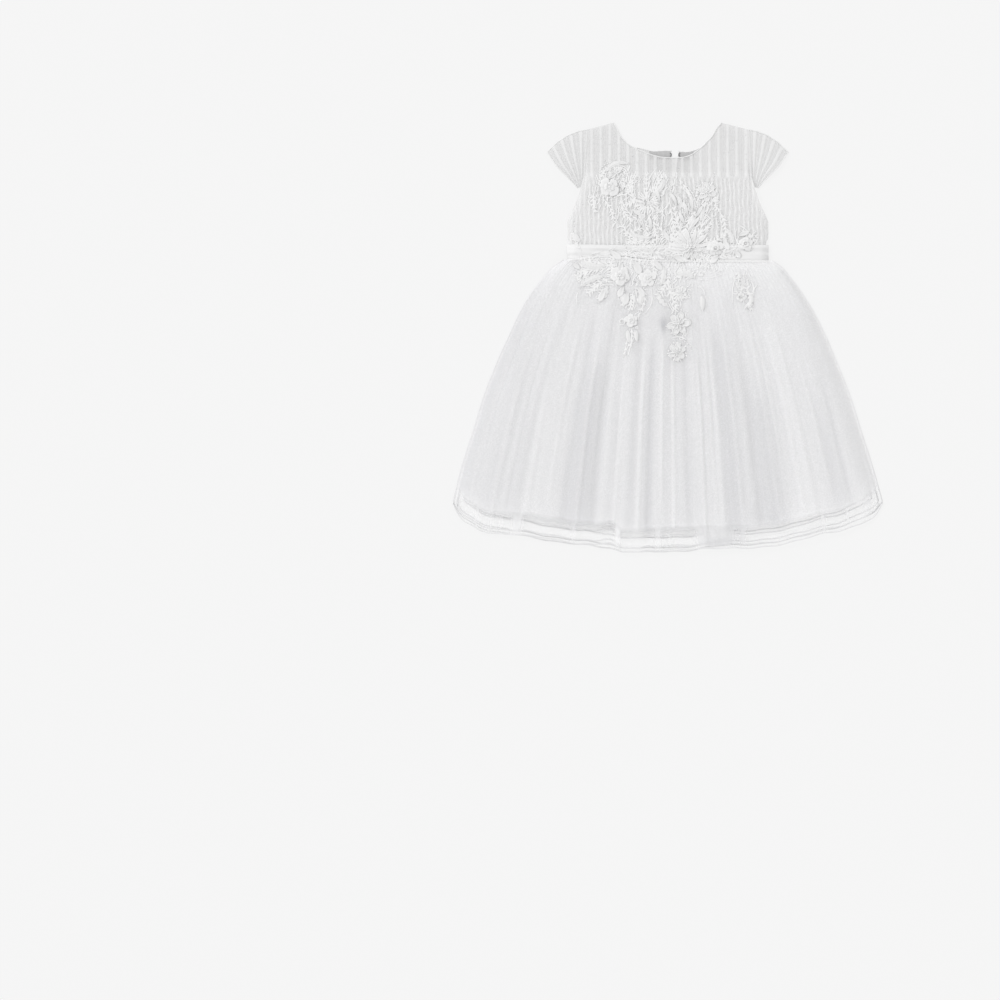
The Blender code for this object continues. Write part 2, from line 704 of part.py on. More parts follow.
def sleeve_plan(across, down):
    """Plan of one half of the sleeve: across from seam to hem, down from the fold."""
    seam_x, seam_y = sleeve_edge(SLEEVE_SEAM, down)
    hem_x, hem_y = sleeve_edge(SLEEVE_HEM, down)
    fold_x, fold_y = sleeve_edge(SLEEVE_FOLD, across)
    straight_x = SLEEVE_FOLD[0].x + (SLEEVE_FOLD[-1].x - SLEEVE_FOLD[0].x) * across
    straight_y = SLEEVE_FOLD[0].y + (SLEEVE_FOLD[-1].y - SLEEVE_FOLD[0].y) * across
    fade = (1 - down) ** 2
    x = seam_x + (hem_x - seam_x) * across + (fold_x - straight_x) * fade
    y = seam_y + (hem_y - seam_y) * across + (fold_y - straight_y) * fade
    return x, y


def sleeve(side, name):
    """A cap sleeve folded double along its top, its fan of ribs on the upper half."""
    across = [0.0]
    for rib in SLEEVE_RIBS:
        across += [rib - SLEEVE_RIB_HALF, rib, rib + SLEEVE_RIB_HALF]
    across.append(1.0)
    fold_row = SLEEVE_DOWNS.index(0.0)
    rings = []
    for share in across:
        outer, inner = [], []
        for row, down in enumerate(SLEEVE_DOWNS):
            x, y = sleeve_plan(share, down)
            inset_x, inset_y = sleeve_plan(share, down + SLEEVE_WALL_SHARE)
            open_share = SLEEVE_SEAM_LOFT + (1 - SLEEVE_SEAM_LOFT) * share
            puff = SLEEVE_LOFT * math.sin(math.pi * min(1.0, down * 1.15)) * open_share
            rib = RIB_HEIGHT * (share in SLEEVE_RIBS) * min(1.0, down * 8)
            if row < fold_row:
                outer.append((side * x, y, 0.0))
                inner.append((side * x, y, WALL))
            elif row == fold_row:
                outer.append((side * x, y, WALL + 0.15))
                inner.append((side * inset_x, inset_y, WALL + 0.15))
            else:
                outer.append((side * x, y, 2 * WALL + GAP + puff + rib))
                inner.append((side * x, y, WALL + GAP + puff))
        rings.append(outer + inner[::-1])
    size = len(rings[0])
    points = [point for ring in rings for point in ring]
    faces = []
    for ring in range(len(rings) - 1):
        for step in range(size):
            here = ring * size + step
            after = ring * size + (step + 1) % size
            faces.append((here, after, after + size, here + size))
    half = size // 2
    for first in (0, (len(rings) - 1) * size):
        for step in range(half - 1):
            far = size - 1 - step
            faces.append((first + step, first + step + 1, first + far - 1, first + far))
    return make_object(name, points, faces, "overlay")


# Raised lace

class Support:
    """The upper side of everything laid so far, to set the next piece on."""

    def __init__(self, objects):
        self.trees = []
        for each in objects:
            points = [vert.co / MM for vert in each.data.vertices]
            faces = [tuple(face.vertices) for face in each.data.polygons]
            self.trees.append(BVHTree.FromPolygons(points, faces))

    def height(self, x, y):
        """Highest point over one place."""
        start = Vector((x, y, 100.0))
        hits = [tree.ray_cast(start, Vector((0, 0, -1))) for tree in self.trees]
        return max([hit[0].z for hit in hits if hit[0] is not None] or [0.0])

    def over(self, x, y, reach):
        """Height that clears the surface within a reach."""
        ring = [(0, 0)]
        for step in range(12):
            turn = step * math.pi / 6
            for share in (0.33, 0.67, 1.0):
                ring.append((reach * share * math.cos(turn), reach * share * math.sin(turn)))
        return max(self.height(x + dx, y + dy) for dx, dy in ring) + GAP + 0.05


class PetalRing(NamedTuple):
    """A ring of points on a flower, as shares of its radius and of its height."""
    reach: float
    crest: float


PETAL_RINGS = (PetalRing(0.26, 0.55), PetalRing(0.62, 1.0), PetalRing(1.0, 0.42))
SMALL_FLOWER = 8.0
HEART_CREST = 0.85
NOTCH_REACH = 0.26
NOTCH_DROP = 0.42
FLOWER_REST = 0.36


def flower_object(flower, support):
    """A flower with a hollow heart, crested petals and notches between them."""
    per_petal = 4 if flower.radius > SMALL_FLOWER else 2
    count = flower.petals * per_petal
    rings = []
    for share, crest in PETAL_RINGS:
        ring = []
        for step in range(count):
            turn = math.radians(flower.turn) + 2 * math.pi * step / count
            wave = 0.5 + 0.5 * math.cos(2 * math.pi * (step % per_petal) / per_petal)
            reach = flower.radius * share * (1 - NOTCH_REACH * wave * share ** 2)
            lift = flower.height * crest * (1 - NOTCH_DROP * wave * share)
            ring.append((reach * math.cos(turn), reach * math.sin(turn), lift))
        rings.append(ring)
    floor_reach = flower.radius * FLOWER_REST
    base = {}

    def floor(dx, dy):
        key = (round(dx, 3), round(dy, 3))
        if key not in base:
            base[key] = support.over(flower.x + dx, flower.y + dy, floor_reach)
        return base[key]

    centre = (flower.x, flower.y, floor(0, 0) + flower.height * HEART_CREST)
    points = [centre]
    for ring in rings:
        for dx, dy, lift in ring:
            points.append((flower.x + dx, flower.y + dy, floor(dx, dy) + lift))
    under_mid = len(points)
    for dx, dy, _ in rings[1]:
        points.append((flower.x + dx, flower.y + dy, floor(dx, dy)))
    under_edge = len(points)
    for dx, dy, _ in rings[2]:
        points.append((flower.x + dx, flower.y + dy, floor(dx, dy)))
    under_centre = len(points)
    points.append((flower.x, flower.y, floor(0, 0)))
    starts = [1, 1 + count, 1 + 2 * count, under_edge, under_mid]
    faces = []
    for step in range(count):
        after = (step + 1) % count
        faces.append((0, 1 + step, 1 + after))
        for inner, outer in zip(starts, starts[1:]):
            faces.append((inner + step, outer + step, outer + after, inner + after))
        faces.append((under_centre, under_mid + after, under_mid + step))
    return make_object(flower.name, points, faces, "applique")


LEAF_TIP = 0.12
LEAF_NOTCH = 0.62
LEAF_REST = 0.8
LEAF_EDGE = 0.5
LEAF_CREST = 1.2
LEAF_DOME = 1.4


def leaf_object(leaf, support):
    """A pointed leaf with a raised midrib, bent to one side, its edge lobed if it has lobes."""
    stations = 4 * leaf.lobes + 1 if leaf.lobes else 7
    run = Vector((leaf.end.x - leaf.start.x, leaf.end.y - leaf.start.y))
    aside = Vector((-run.y, run.x)).normalized()
    rings = []
    for station in range(stations):
        share = station / (stations - 1)
        middle = Vector(leaf.start) + run * share + aside * leaf.bend * math.sin(math.pi * share)
        width = leaf.half_width * (LEAF_TIP + (1 - LEAF_TIP) * math.sin(math.pi * share ** 0.8) ** 0.7)
        if leaf.lobes and station % 4 in (1, 2) and 0 < share < 1:
            width *= LEAF_NOTCH
        left = middle + aside * width
        right = middle - aside * width
        reach = leaf.half_width + LEAF_REST
        mid_z = support.over(middle.x, middle.y, reach)
        left_z = support.over(left.x, left.y, reach)
        right_z = support.over(right.x, right.y, reach)
        crest = LEAF_CREST + LEAF_DOME * math.sin(math.pi * share)
        rings.append([
            (left.x, left.y, left_z + LEAF_EDGE), (middle.x, middle.y, mid_z + crest),
            (right.x, right.y, right_z + LEAF_EDGE), (middle.x, middle.y, mid_z),
        ])
    points = [point for ring in rings for point in ring]
    faces = [(0, 1, 2, 3), tuple(range(len(points) - 1, len(points) - 5, -1))]
    for ring in range(len(rings) - 1):
        for step in range(4):
            here = ring * 4 + step
            after = ring * 4 + (step + 1) % 4
            faces.append((here, here + 4, after + 4, after))
    return make_object(leaf.name, points, faces, "applique")


# Fastener

def wire_object(name, path, support):
    """A bent wire, its height read from what it lies on."""
    sides = WIRE_SIDES
    points = []
    z = max(support.over(x, y, 2 * WIRE_RADIUS) for x, y in path) + WIRE_RADIUS
    spots = [Vector((x, y, z)) for x, y in path]
    for index, spot in enumerate(spots):
        before = spots[max(0, index - 1)]
        after = spots[min(len(spots) - 1, index + 1)]
        ahead = (after - before).normalized()
        across = ahead.cross(Vector((0, 0, 1))).normalized()
        up = across.cross(ahead)
        for side in range(sides):
            turn = 2 * math.pi * side / sides
            points.append(spot + (across * math.cos(turn) + up * math.sin(turn)) * WIRE_RADIUS)
    faces = [tuple(range(sides)), tuple(range(len(points) - 1, len(points) - 1 - sides, -1))]
    for ring in range(len(spots) - 1):
        for side in range(sides):
            here = ring * sides + side
            after = ring * sides + (side + 1) % sides
            faces.append((here, after, after + sides, here + sides))
    return make_object(name, points, faces, "metal")


def fastener(support):
    """Hook on one edge of the back opening and its bar on the other."""
    turns = [math.pi * step / 6 for step in range(7)]
    arc = [(-FASTENER_BOW * math.sin(turn), FASTENER_HALF * math.cos(turn)) for turn in turns]
    bar = [(EYE_X + across, FASTENER_Y + along) for across, along in arc]
    hook = [(HOOK_X - across, FASTENER_Y + along) for across, along in arc]
    return [wire_object("back_hook", hook, support), wire_object("back_bar", bar, support)]


def main():
    """Lay the dress from the surface up."""
    remove_all_objects()
    laid = [skirt_back(order) for order in (OUTER, MIDDLE, INNER, LINING)]
    laid.append(sash_back())
    for side, half in ((-1, "left"), (1, "right")):
        laid.append(bodice_back(side, "bodice_back_" + half))
    laid += fastener(Support(laid))
    for side, half in ((-1, "left"), (1, "right")):
        laid.append(bodice_back_lining(side, "bodice_back_lining_" + half))
    laid += [bodice_front_lining(), bodice_front(), sash_front()]
    for order in (LINING, INNER, MIDDLE, OUTER):
        laid.append(skirt_front(order, Support(laid)))
    laid += [sleeve(-1, "sleeve_left"), sleeve(1, "sleeve_right")]
    support = Support(laid)
    for flower in FLOWERS:
        flower_object(flower, support)
    for leaf in LEAVES:
        leaf_object(leaf, support)


main()
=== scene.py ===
"""The looks of a small child's tulle dress, laid flat on its back with the front up.

Lengths are millimetres until a mesh is made. X runs across the dress, Y from hem to neck
and Z up from the surface it lies on. Each piece of cloth is a thin shell that takes its
height from the solid it stands for, and lies clear of the pieces under it.
"""

import logging
import math
from dataclasses import dataclass
from enum import Enum
from typing import Any, NamedTuple, Optional, Sequence, Union

import bpy
import numpy as np
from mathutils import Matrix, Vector
from mathutils.bvhtree import BVHTree


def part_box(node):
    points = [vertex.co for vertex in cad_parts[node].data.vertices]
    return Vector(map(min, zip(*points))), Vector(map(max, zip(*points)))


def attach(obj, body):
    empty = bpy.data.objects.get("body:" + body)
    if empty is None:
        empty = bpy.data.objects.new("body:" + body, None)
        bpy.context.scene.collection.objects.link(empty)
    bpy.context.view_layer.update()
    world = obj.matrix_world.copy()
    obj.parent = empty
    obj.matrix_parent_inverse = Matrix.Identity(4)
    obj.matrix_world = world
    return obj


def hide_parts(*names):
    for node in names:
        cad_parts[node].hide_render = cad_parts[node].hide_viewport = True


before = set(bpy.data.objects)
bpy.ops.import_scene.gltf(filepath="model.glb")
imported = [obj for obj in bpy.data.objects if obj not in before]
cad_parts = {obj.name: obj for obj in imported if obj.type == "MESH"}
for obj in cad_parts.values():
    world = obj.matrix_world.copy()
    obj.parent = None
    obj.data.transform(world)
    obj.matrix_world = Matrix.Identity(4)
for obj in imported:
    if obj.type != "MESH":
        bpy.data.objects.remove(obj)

Array = np.ndarray
Piece = bpy.types.Object
Value = Union[float, int, "Wire"]

LOG = logging.getLogger("dress")

MM = 0.001
# Thickness of a solid's wall, and the gap between a shell and what lies under it
WALL = 1.0
CLEAR = 0.35
# Where the rays that read heights start, in metres over or under the surface
RAY_FROM = 0.2
# A hollow this deep gets the full colour of painted shade
FULL_DEPTH = 1.6

# Heights on the dress, from hem to shoulder
CORNER_Y = -217.0
WAIST_Y = 97.5
# The gathers push the front's waist seam up on the left: how far, where and how wide
SEAM_RISE = 6.5
SEAM_RISE_X = -82.0
SEAM_RISE_HALF = 40.0
SASH_LOW_Y = 97.2
SASH_TOP_Y = 120.5
YOKE_Y = 209.0

# Bodice and sleeves
BODICE_HALF = 131.0
SASH_NIP = 3.0
SASH_HALF = 131.4
NECK_PEAK_X = 70.0
SHOULDER_X = 105.0
RIB_PITCH = 11.8
RIB_FIRST_X = -122.6
RIB_COUNT = 22
RIB_STEPS = 14
SLIT_X = 9.5
SLIT_HALF_TOP = 4.6
SLIT_END_Y = 205.0
SLIT_TOP_Y = 243.0

# The photograph's view: straight down on the surface, the dress right of its middle.
# SUBJECT_Z is the dress's own middle height, which the scale is true for.
VIEW_X = -218.4
VIEW_Y = -211.9
VIEW_WIDTH = 1300.0
VIEW_HEIGHT = 6000.0
SUBJECT_Z = 12.0
SENSOR = 36.0


class Point(NamedTuple):
    """A point of an outline."""
    x: float
    y: float


def table(kind: type, places: int, *rows: tuple[Any, ...]) -> tuple[Any, ...]:
    """Records from rows of numbers.

    Args:
        kind: the record, whose fields name the columns.
        places: how many of its first fields are points, two columns each.
        rows: the rows.

    Returns:
        One record a row.
    """
    return tuple(
        kind(*(Point(*row[2 * at:2 * at + 2]) for at in range(places)), *row[2 * places:])
        for row in rows
    )


class Side(NamedTuple):
    """Where the skirt's two sides lie at one height."""
    y: float
    left: float
    right: float


class Hem(NamedTuple):
    """Lowest edge of the outer net at one place across, front and back."""
    x: float
    front: float
    back: float


SKIRT_SIDE = table(
    Side, 0,
    (-217, -279.5, 279.5), (-204, -277, 276), (-162, -266, 264), (-121, -253, 251),
    (-79, -240, 238), (-38, -224, 222), (4, -205, 204), (45, -184, 182), (77, -160, 159),
    (90, -147, 147), (97.2, -136, 136),
)
SKIRT_HEM = table(
    Hem, 0,
    (-279.5, -217, -214), (-272, -232, -228), (-252, -247, -243), (-190, -257, -258),
    (-143, -264, -266), (-96, -270, -272), (-70, -271, -276), (-64, -276.5, -278),
    (-25, -277, -279.5), (20, -276, -278), (60, -274, -272), (104, -274.5, -270), (153, -268, -264),
    (200, -256, -252), (232, -249, -244), (258, -239, -233), (272, -230, -225), (279.5, -217, -214),
)
NECK_FRONT = table(
    Point, 0,
    (-70, 279.5), (-66, 272), (-61.5, 263.5), (-55, 255), (-46, 248.5), (-33.8, 243), (-20.8, 238),
    (5, 234), (32, 239), (44, 248), (51, 255), (58.5, 263), (63.5, 272), (70, 279.5),
)
NECK_BACK = table(
    Point, 0,
    (-70, 279.5), (-66, 271.5), (-61, 262), (-54.5, 254), (-46, 248.8), (-33.8, 246), (-20.8, 243),
    (-2, 243.5), (9.5, 243), (30, 242.5), (44, 248.5), (51.5, 255), (58.5, 262.5), (63.5, 271),
    (70, 279.5),
)
ARMHOLE = table(
    Point, 0,
    (105, 270.5), (109, 208), (114, 192), (118, 180), (122, 170), (127, 160), (131, 150),
)
LINING_ARM = table(
    Point, 0,
    (98, 209), (106, 186), (114, 172), (126, 146),
)
SLEEVE_SEAM = table(
    Point, 0,
    (105.7, 270.3), (109.6, 208.3), (113.4, 195.5),
)
SLEEVE_FOLD = table(
    Point, 0,
    (105.7, 270.3), (116, 268.3), (130, 263), (144, 253.8), (157, 241),
)
SLEEVE_HEM = table(
    Point, 0,
    (157, 241), (144, 222), (133, 211), (124, 201.5), (117.5, 194.5),
)
SLEEVE_RIBS = (0.13, 0.36, 0.59, 0.82)
SLEEVE_LOFT = 2.6


class Layer(NamedTuple):
    """One layer of the skirt: how far it lies inside the outer one, and its grid."""
    name: str
    waist_inset: float
    hem_inset: float
    hem_lift: float
    corner: float
    columns: int
    rows: int


OUTER = Layer("tulle_outer", 0, 0, 0, 0, 420, 130)
MIDDLE = Layer("tulle_middle", 4, 5, 5, 3, 240, 90)
INNER = Layer("tulle_inner", 8, 14, 18, 8, 220, 80)
LINING = Layer("skirt_lining", 12, 27, 29, 15, 180, 70)


class Crease(NamedTuple):
    """A ridge, or a trough if its height is below 0, that fans down the skirt."""
    hem_x: float
    half_width: float
    height: float
    start: float
    end: float


CREASES = table(
    Crease, 0,
    (-233, 4.0, 0.9, 0.35, 0.95), (-214, 3.0, -0.8, 0.20, 0.90), (-188, 5.0, 1.0, 0.30, 1.00),
    (-160, 3.5, 0.8, 0.15, 0.85), (-136, 6.0, -1.4, 0.12, 1.00), (-121, 2.8, 1.2, 0.20, 0.96),
    (-97, 6.0, -1.5, 0.30, 1.00), (-70, 3.0, 1.1, 0.20, 1.00), (-39, 2.6, 1.6, 0.24, 1.00),
    (-26, 4.5, -1.5, 0.22, 1.00), (-8, 2.4, 1.4, 0.18, 0.80), (10, 2.6, 1.5, 0.25, 1.00),
    (30, 4.0, -0.9, 0.20, 0.90), (51, 2.4, 1.4, 0.24, 1.00), (66, 3.0, 1.1, 0.12, 0.90),
    (84, 7.0, -1.6, 0.15, 1.00), (101, 3.0, 1.0, 0.10, 0.90), (127, 7.0, -1.4, 0.35, 1.00),
    (152, 3.5, 1.0, 0.12, 1.00), (176, 3.0, -0.8, 0.25, 0.90), (198, 5.0, 1.2, 0.10, 1.00),
    (222, 3.0, 0.8, 0.30, 0.85), (246, 4.0, -0.8, 0.40, 0.95),
)
FINE_CREASES = 170
WAIST_PLEATS = 64


class Shade(NamedTuple):
    """A darker stretch of the skirt, or a lighter one below 0, that fans from the waist."""
    hem_x: float
    half_width: float
    tone: float
    start: float
    end: float


SHADES = table(
    Shade, 0,
    (-262, 7, -0.20, 0.30, 0.95), (-240, 8, 0.20, 0.25, 1.00), (-212, 6, 0.15, 0.45, 1.00),
    (-178, 12, -0.28, 0.10, 1.00), (-150, 5, -0.20, 0.20, 0.90), (-123, 17, 0.50, 0.28, 1.00),
    (-92, 9, -0.15, 0.15, 1.00), (-66, 5, -0.20, 0.25, 1.00), (-52, 6, 0.18, 0.12, 0.80),
    (-41, 3.5, -0.50, 0.15, 1.00), (-26, 4.5, 0.50, 0.20, 1.00), (-9, 5, -0.20, 0.15, 0.70),
    (10, 3.5, -0.40, 0.25, 1.00), (28, 9, 0.12, 0.20, 1.00), (57, 3, -0.42, 0.20, 1.00),
    (74, 5, -0.32, 0.10, 0.95), (95, 12, 0.45, 0.15, 1.00), (118, 4, -0.20, 0.10, 0.80),
    (146, 15, 0.42, 0.35, 1.00), (170, 5, 0.10, 0.15, 0.70), (196, 20, -0.34, 0.08, 1.00),
    (232, 9, 0.24, 0.40, 1.00), (258, 6, -0.20, 0.35, 0.95),
)
SHADE_BASE = 0.34
# The deep fold beside the lace, which gets a painted shadow: its place across, and its share of the way
# down
HOLLOW = Point(-5.0, 0.225)
# The hem's stretch of painted shade, where several nets lie over each other: its middle and its reach
FOLDED = Point(74.0, 32.0)


class Turn(NamedTuple):
    """A place along the hem where the net is turned over itself."""
    hem_x: float
    half_width: float
    cover: float


TURNS = table(
    Turn, 0,
    (-250, 3, 0.20), (-232, 1.5, 0.20), (-219, 2, 0.15), (-198, 7, 0.28), (-124, 3, 0.18),
    (-66, 3.5, 0.34), (-13, 4, 0.22), (2, 2, 0.12), (50, 13, 0.26), (74, 16, 0.26), (98, 5, 0.20),
    (204, 2.5, 0.22), (236, 1.5, 0.20), (262, 5, 0.22),
)
VEIL_COVER = 0.36
VEIL_END = 22.0


class Bloom(Enum):
    """The kinds of lace flower."""
    PETALS = "flat petals with a corded edge"
    LOOPS = "looped petals, sunk inside their cord"
    BLOSSOM = "a small flower round one bead"


class Flower(NamedTuple):
    """A lace flower: its node, its petals, its turn in degrees and its kind."""
    node: str
    petals: int
    turn: float
    kind: Bloom


FLOWERS = table(
    Flower, 0,
    ("flower_bodice_left", 4, 45, Bloom.PETALS), ("flower_bodice_right", 6, 40, Bloom.LOOPS),
    ("flower_waist_main", 6, 0, Bloom.LOOPS), ("flower_waist_right", 5, 24, Bloom.PETALS),
    ("flower_waist_end", 5, 12, Bloom.PETALS), ("flower_skirt_left", 5, 54, Bloom.PETALS),
    ("flower_skirt_middle", 5, 20, Bloom.PETALS), ("flower_skirt_low_left", 5, 30, Bloom.PETALS),
    ("flower_skirt_centre", 6, 8, Bloom.LOOPS), ("flower_skirt_tip", 6, 25, Bloom.LOOPS),
    ("flower_skirt_half", 5, 45, Bloom.LOOPS), ("blossom_bodice_1", 5, 0, Bloom.BLOSSOM),
    ("blossom_bodice_2", 5, 30, Bloom.BLOSSOM), ("blossom_skirt_1", 5, 15, Bloom.BLOSSOM),
    ("blossom_skirt_2", 5, 50, Bloom.BLOSSOM),
)


class Leaf(NamedTuple):
    """A lace leaf: its two ends, its half width, its side bend, its lobes and its node."""
    start: Point
    end: Point
    half_width: float
    bend: float
    lobes: int
    node: str


LEAVES = table(
    Leaf, 2,
    (-82, 215, -49, 226, 3.2, 6, 0, "leaf_bodice_arch"),
    (-4, 206, -22, 184, 3.6, 3, 0, "leaf_bodice_up"),
    (13, 186, 32, 162, 3.2, -4, 4, "leaf_bodice_centre"),
    (34, 157, 24, 136, 2.8, 3, 0, "leaf_bodice_stem"),
    (43, 170, 42, 150, 3.4, 2, 0, "leaf_bodice_small"),
    (-47, 166, -31, 149, 3.2, 3, 3, "leaf_bodice_sprig"),
    (-50, 137, -18, 130, 3.2, -4, 4, "scroll_waist_1"),
    (-46, 112, -14, 106, 3.2, 5, 4, "scroll_waist_2"),
    (76, 141, 86, 119, 2.8, 2, 0, "leaf_waist_thin"),
    (-124, 134, -114, 124, 4.0, 0, 0, "leaf_waist_left"),
    (-82, 92, -117, 99, 4.6, 3, 5, "fern_left_1"), (-84, 79, -116, 64, 4.6, -3, 5, "fern_left_2"),
    (-78, 66, -92, 44, 4.2, 2, 4, "fern_left_3"), (-60, 58, -55, 41, 4.2, 0, 0, "petal_left_low"),
    (-34, 58, -36, 41, 3.8, 0, 0, "petal_middle_low"), (-53, 9, -51, -8, 2.8, 0, 0, "drop_left_1"),
    (-43, 9, -40, -7, 2.8, 0, 0, "drop_left_2"), (-6, 92, -10, 66, 4.4, 2, 4, "fern_centre"),
    (10, 82, 36, 76, 4.4, 3, 4, "fan_centre"), (-14, 58, 2, 38, 3.6, -3, 4, "fern_stem"),
    (44, 54, 45, 34, 3.4, 0, 0, "drop_right"), (108, 56, 104, 36, 3.2, 2, 0, "leaf_skirt_right"),
)


class Stem(NamedTuple):
    """A corded line of the lace: its ends, its side bend and its thickness."""
    start: Point
    end: Point
    bend: float
    thick: float


STEMS = table(
    Stem, 2,
    (-90, 206, -66, 222, 5, 1.3), (-74, 219, -50, 204, 9, 1.4), (-78, 213, -54, 200, 8, 1.2),
    (-58, 208, -46, 178, 3, 1.2), (-95, 190, -92, 168, -3, 1.2), (-62, 186, -36, 150, -5, 1.3),
    (-6, 218, -18, 178, -5, 1.4), (-2, 212, -10, 176, -4, 1.1), (-13, 222, -26, 190, -4, 1.1),
    (15, 204, 38, 162, 4, 1.4), (10, 198, 34, 168, 6, 1.1), (-24, 160, 4, 178, -5, 1.2),
    (-30, 140, -12, 168, 4, 1.3), (36, 160, 22, 124, 4, 1.5), (36, 160, 60, 148, 5, 1.3),
    (26, 140, 48, 156, -4, 1.3), (20, 128, 2, 150, 5, 1.3), (2, 120, 56, 122, 9, 1.7),
    (0, 126, 50, 131, 8, 1.4), (6, 113, 52, 114, 7, 1.5), (-12, 118, 6, 132, 5, 1.5),
    (68, 132, 78, 118, 3, 1.3), (88, 138, 96, 116, -3, 1.3), (92, 146, 108, 128, 3, 1.2),
    (-56, 128, -40, 116, 3, 1.4), (-62, 116, -40, 104, -4, 1.4), (-74, 98, -74, 74, 3, 1.4),
    (-118, 92, -104, 62, 5, 1.2), (-116, 60, -118, 42, -2, 1.3), (-96, 104, -70, 92, -4, 1.3),
    (-50, 96, -40, 78, 3, 1.4), (-46, 56, -47, 34, 2, 1.3), (-22, 62, -30, 30, 5, 1.3),
    (1, 74, 3, 46, 2, 1.4), (3, 46, 14, 32, -2, 1.4), (36, 66, 48, 56, 3, 1.2),
    (-4, 14, 8, 4, 3, 1.2), (4, -2, 24, -4, 3, 1.3), (88, 78, 84, 44, -2, 1.2),
    (106, 74, 110, 58, 3, 1.2), (-47, 6, -58, -22, 2, 1.1), (-42, 4, -52, -24, -1, 1.0),
)


class Scroll(NamedTuple):
    """A curl of cord: its middle, its reach, where it starts in degrees, and its turns."""
    middle: Point
    radius: float
    start: float
    turns: float


SCROLLS = table(
    Scroll, 1,
    (-46, 128, 6.5, 200, 1.5), (-32, 126, 5.5, 20, 1.4), (-40, 114, 6.0, 100, 1.5),
    (-26, 112, 5.5, 300, 1.4), (-18, 124, 5.0, 150, 1.3), (-50, 106, 5.0, 60, 1.3),
    (-68, 196, 6.5, 30, 1.2), (-84, 200, 5.5, 160, 1.3), (-99, 176, 4.5, 90, 1.2),
    (-40, 206, 5.0, 250, 1.2), (-8, 188, 5.0, 120, 1.2), (44, 160, 5.0, 40, 1.3),
    (-104, 92, 5.5, 200, 1.3), (-92, 68, 5.0, 330, 1.3), (-22, 78, 5.0, 70, 1.2),
    (18, 92, 4.5, 190, 1.2), (44, 82, 4.5, 300, 1.2), (102, 66, 4.5, 20, 1.3),
    (14, 22, 4.5, 140, 1.2), (-60, 20, 4.5, 230, 1.2),
)


class Frond(NamedTuple):
    """A fern: a bowed stem with pairs of thread strokes at a slant in degrees."""
    start: Point
    end: Point
    bend: float
    pairs: int
    length: float
    slant: float


FRONDS = table(
    Frond, 2,
    (-90, 204, -66, 224, 4, 5, 7, 48), (-46, 208, -58, 182, 3, 5, 7, 42),
    (-97, 188, -93, 160, -2, 5, 6, 40), (-62, 180, -44, 148, -4, 6, 8, 40),
    (-38, 166, -46, 206, 4, 6, 7, 38), (-18, 172, -4, 214, 4, 6, 7, 30),
    (-36, 164, -28, 124, 3, 6, 8, 34), (-17, 160, -12, 124, -3, 6, 8, 34),
    (2, 168, 6, 128, 3, 6, 8, 34), (14, 206, 36, 164, 3, 7, 8, 34),
    (38, 166, 20, 124, -4, 7, 10, 32), (24, 130, 60, 152, -5, 6, 8, 34),
    (64, 170, 76, 130, 3, 6, 7, 34), (-58, 130, -20, 142, 4, 6, 6, 44),
    (0, 124, 56, 126, 7, 8, 6, 36), (82, 116, 112, 136, -3, 5, 6, 44),
    (-74, 94, -116, 103, 5, 8, 9, 50), (-80, 88, -121, 76, -4, 8, 9, 46),
    (-76, 76, -106, 52, -3, 6, 8, 46), (-73, 106, -75, 74, 1, 7, 7, 64),
    (-60, 64, -60, 38, 2, 4, 6, 40), (-44, 60, -48, 34, -2, 5, 7, 40),
    (-30, 62, -36, 32, 2, 4, 6, 40), (2, 82, -16, 50, 3, 6, 9, 52), (0, 78, 15, 34, -4, 6, 8, 46),
    (6, 84, 38, 79, 2, 8, 7, 64), (34, 92, 62, 88, 2, 5, 5, 46), (-48, 12, -50, -14, 2, 4, 5, 34),
    (-54, -4, -58, -26, 1, 3, 4, 30), (90, 88, 100, 60, -2, 5, 6, 46),
    (104, 62, 107, 32, 2, 5, 5, 44), (-112, 112, -124, 138, 2, 4, 5, 40),
    (-50, 116, -8, 104, 4, 7, 9, 50), (-6, 108, 30, 118, 4, 7, 9, 50),
    (34, 104, 84, 110, -4, 9, 8, 52), (-52, 100, -12, 98, -3, 7, 8, 56),
    (28, 118, -16, 150, 6, 8, 9, 36), (30, 120, 8, 172, 5, 8, 10, 34),
    (34, 120, 48, 176, -4, 8, 10, 34), (36, 118, 78, 138, -5, 7, 8, 40),
    (-30, 124, -62, 150, 5, 6, 8, 40), (-84, 180, -70, 150, 3, 5, 7, 40),
    (-26, 180, -26, 216, 2, 5, 7, 34), (-40, 180, -60, 172, 2, 4, 7, 40),
    (56, 196, 62, 168, 2, 5, 6, 40), (-20, 104, -22, 70, 3, 6, 8, 50),
    (-96, 108, -116, 92, 3, 5, 7, 46), (20, 104, 48, 96, 3, 6, 7, 50),
)


class Fan(NamedTuple):
    """Strokes that spread from one middle: their reach, and their first and last direction."""
    middle: Point
    inner: float
    outer: float
    first: float
    last: float
    strokes: int


FANS = table(
    Fan, 1,
    (-26, 175, 4, 18, 0, 345, 24), (-52, 199, 3, 11, 40, 330, 15), (30, 113, 11, 22, 15, 165, 14),
    (15, 57, 3, 12, 175, 350, 12), (-110, 78, 3, 10, 60, 300, 11), (50, 188, 10, 15, 0, 340, 20),
    (-76, 195, 13, 18, 0, 345, 22), (21, 76, 3, 13, 15, 165, 11), (12, -19, 9, 13, 10, 350, 18),
    (-34, 118, 5, 14, 0, 340, 14),
)


class Curls(NamedTuple):
    """A crowd of small cord loops round a middle."""
    middle: Point
    reach: float
    count: int
    size: float


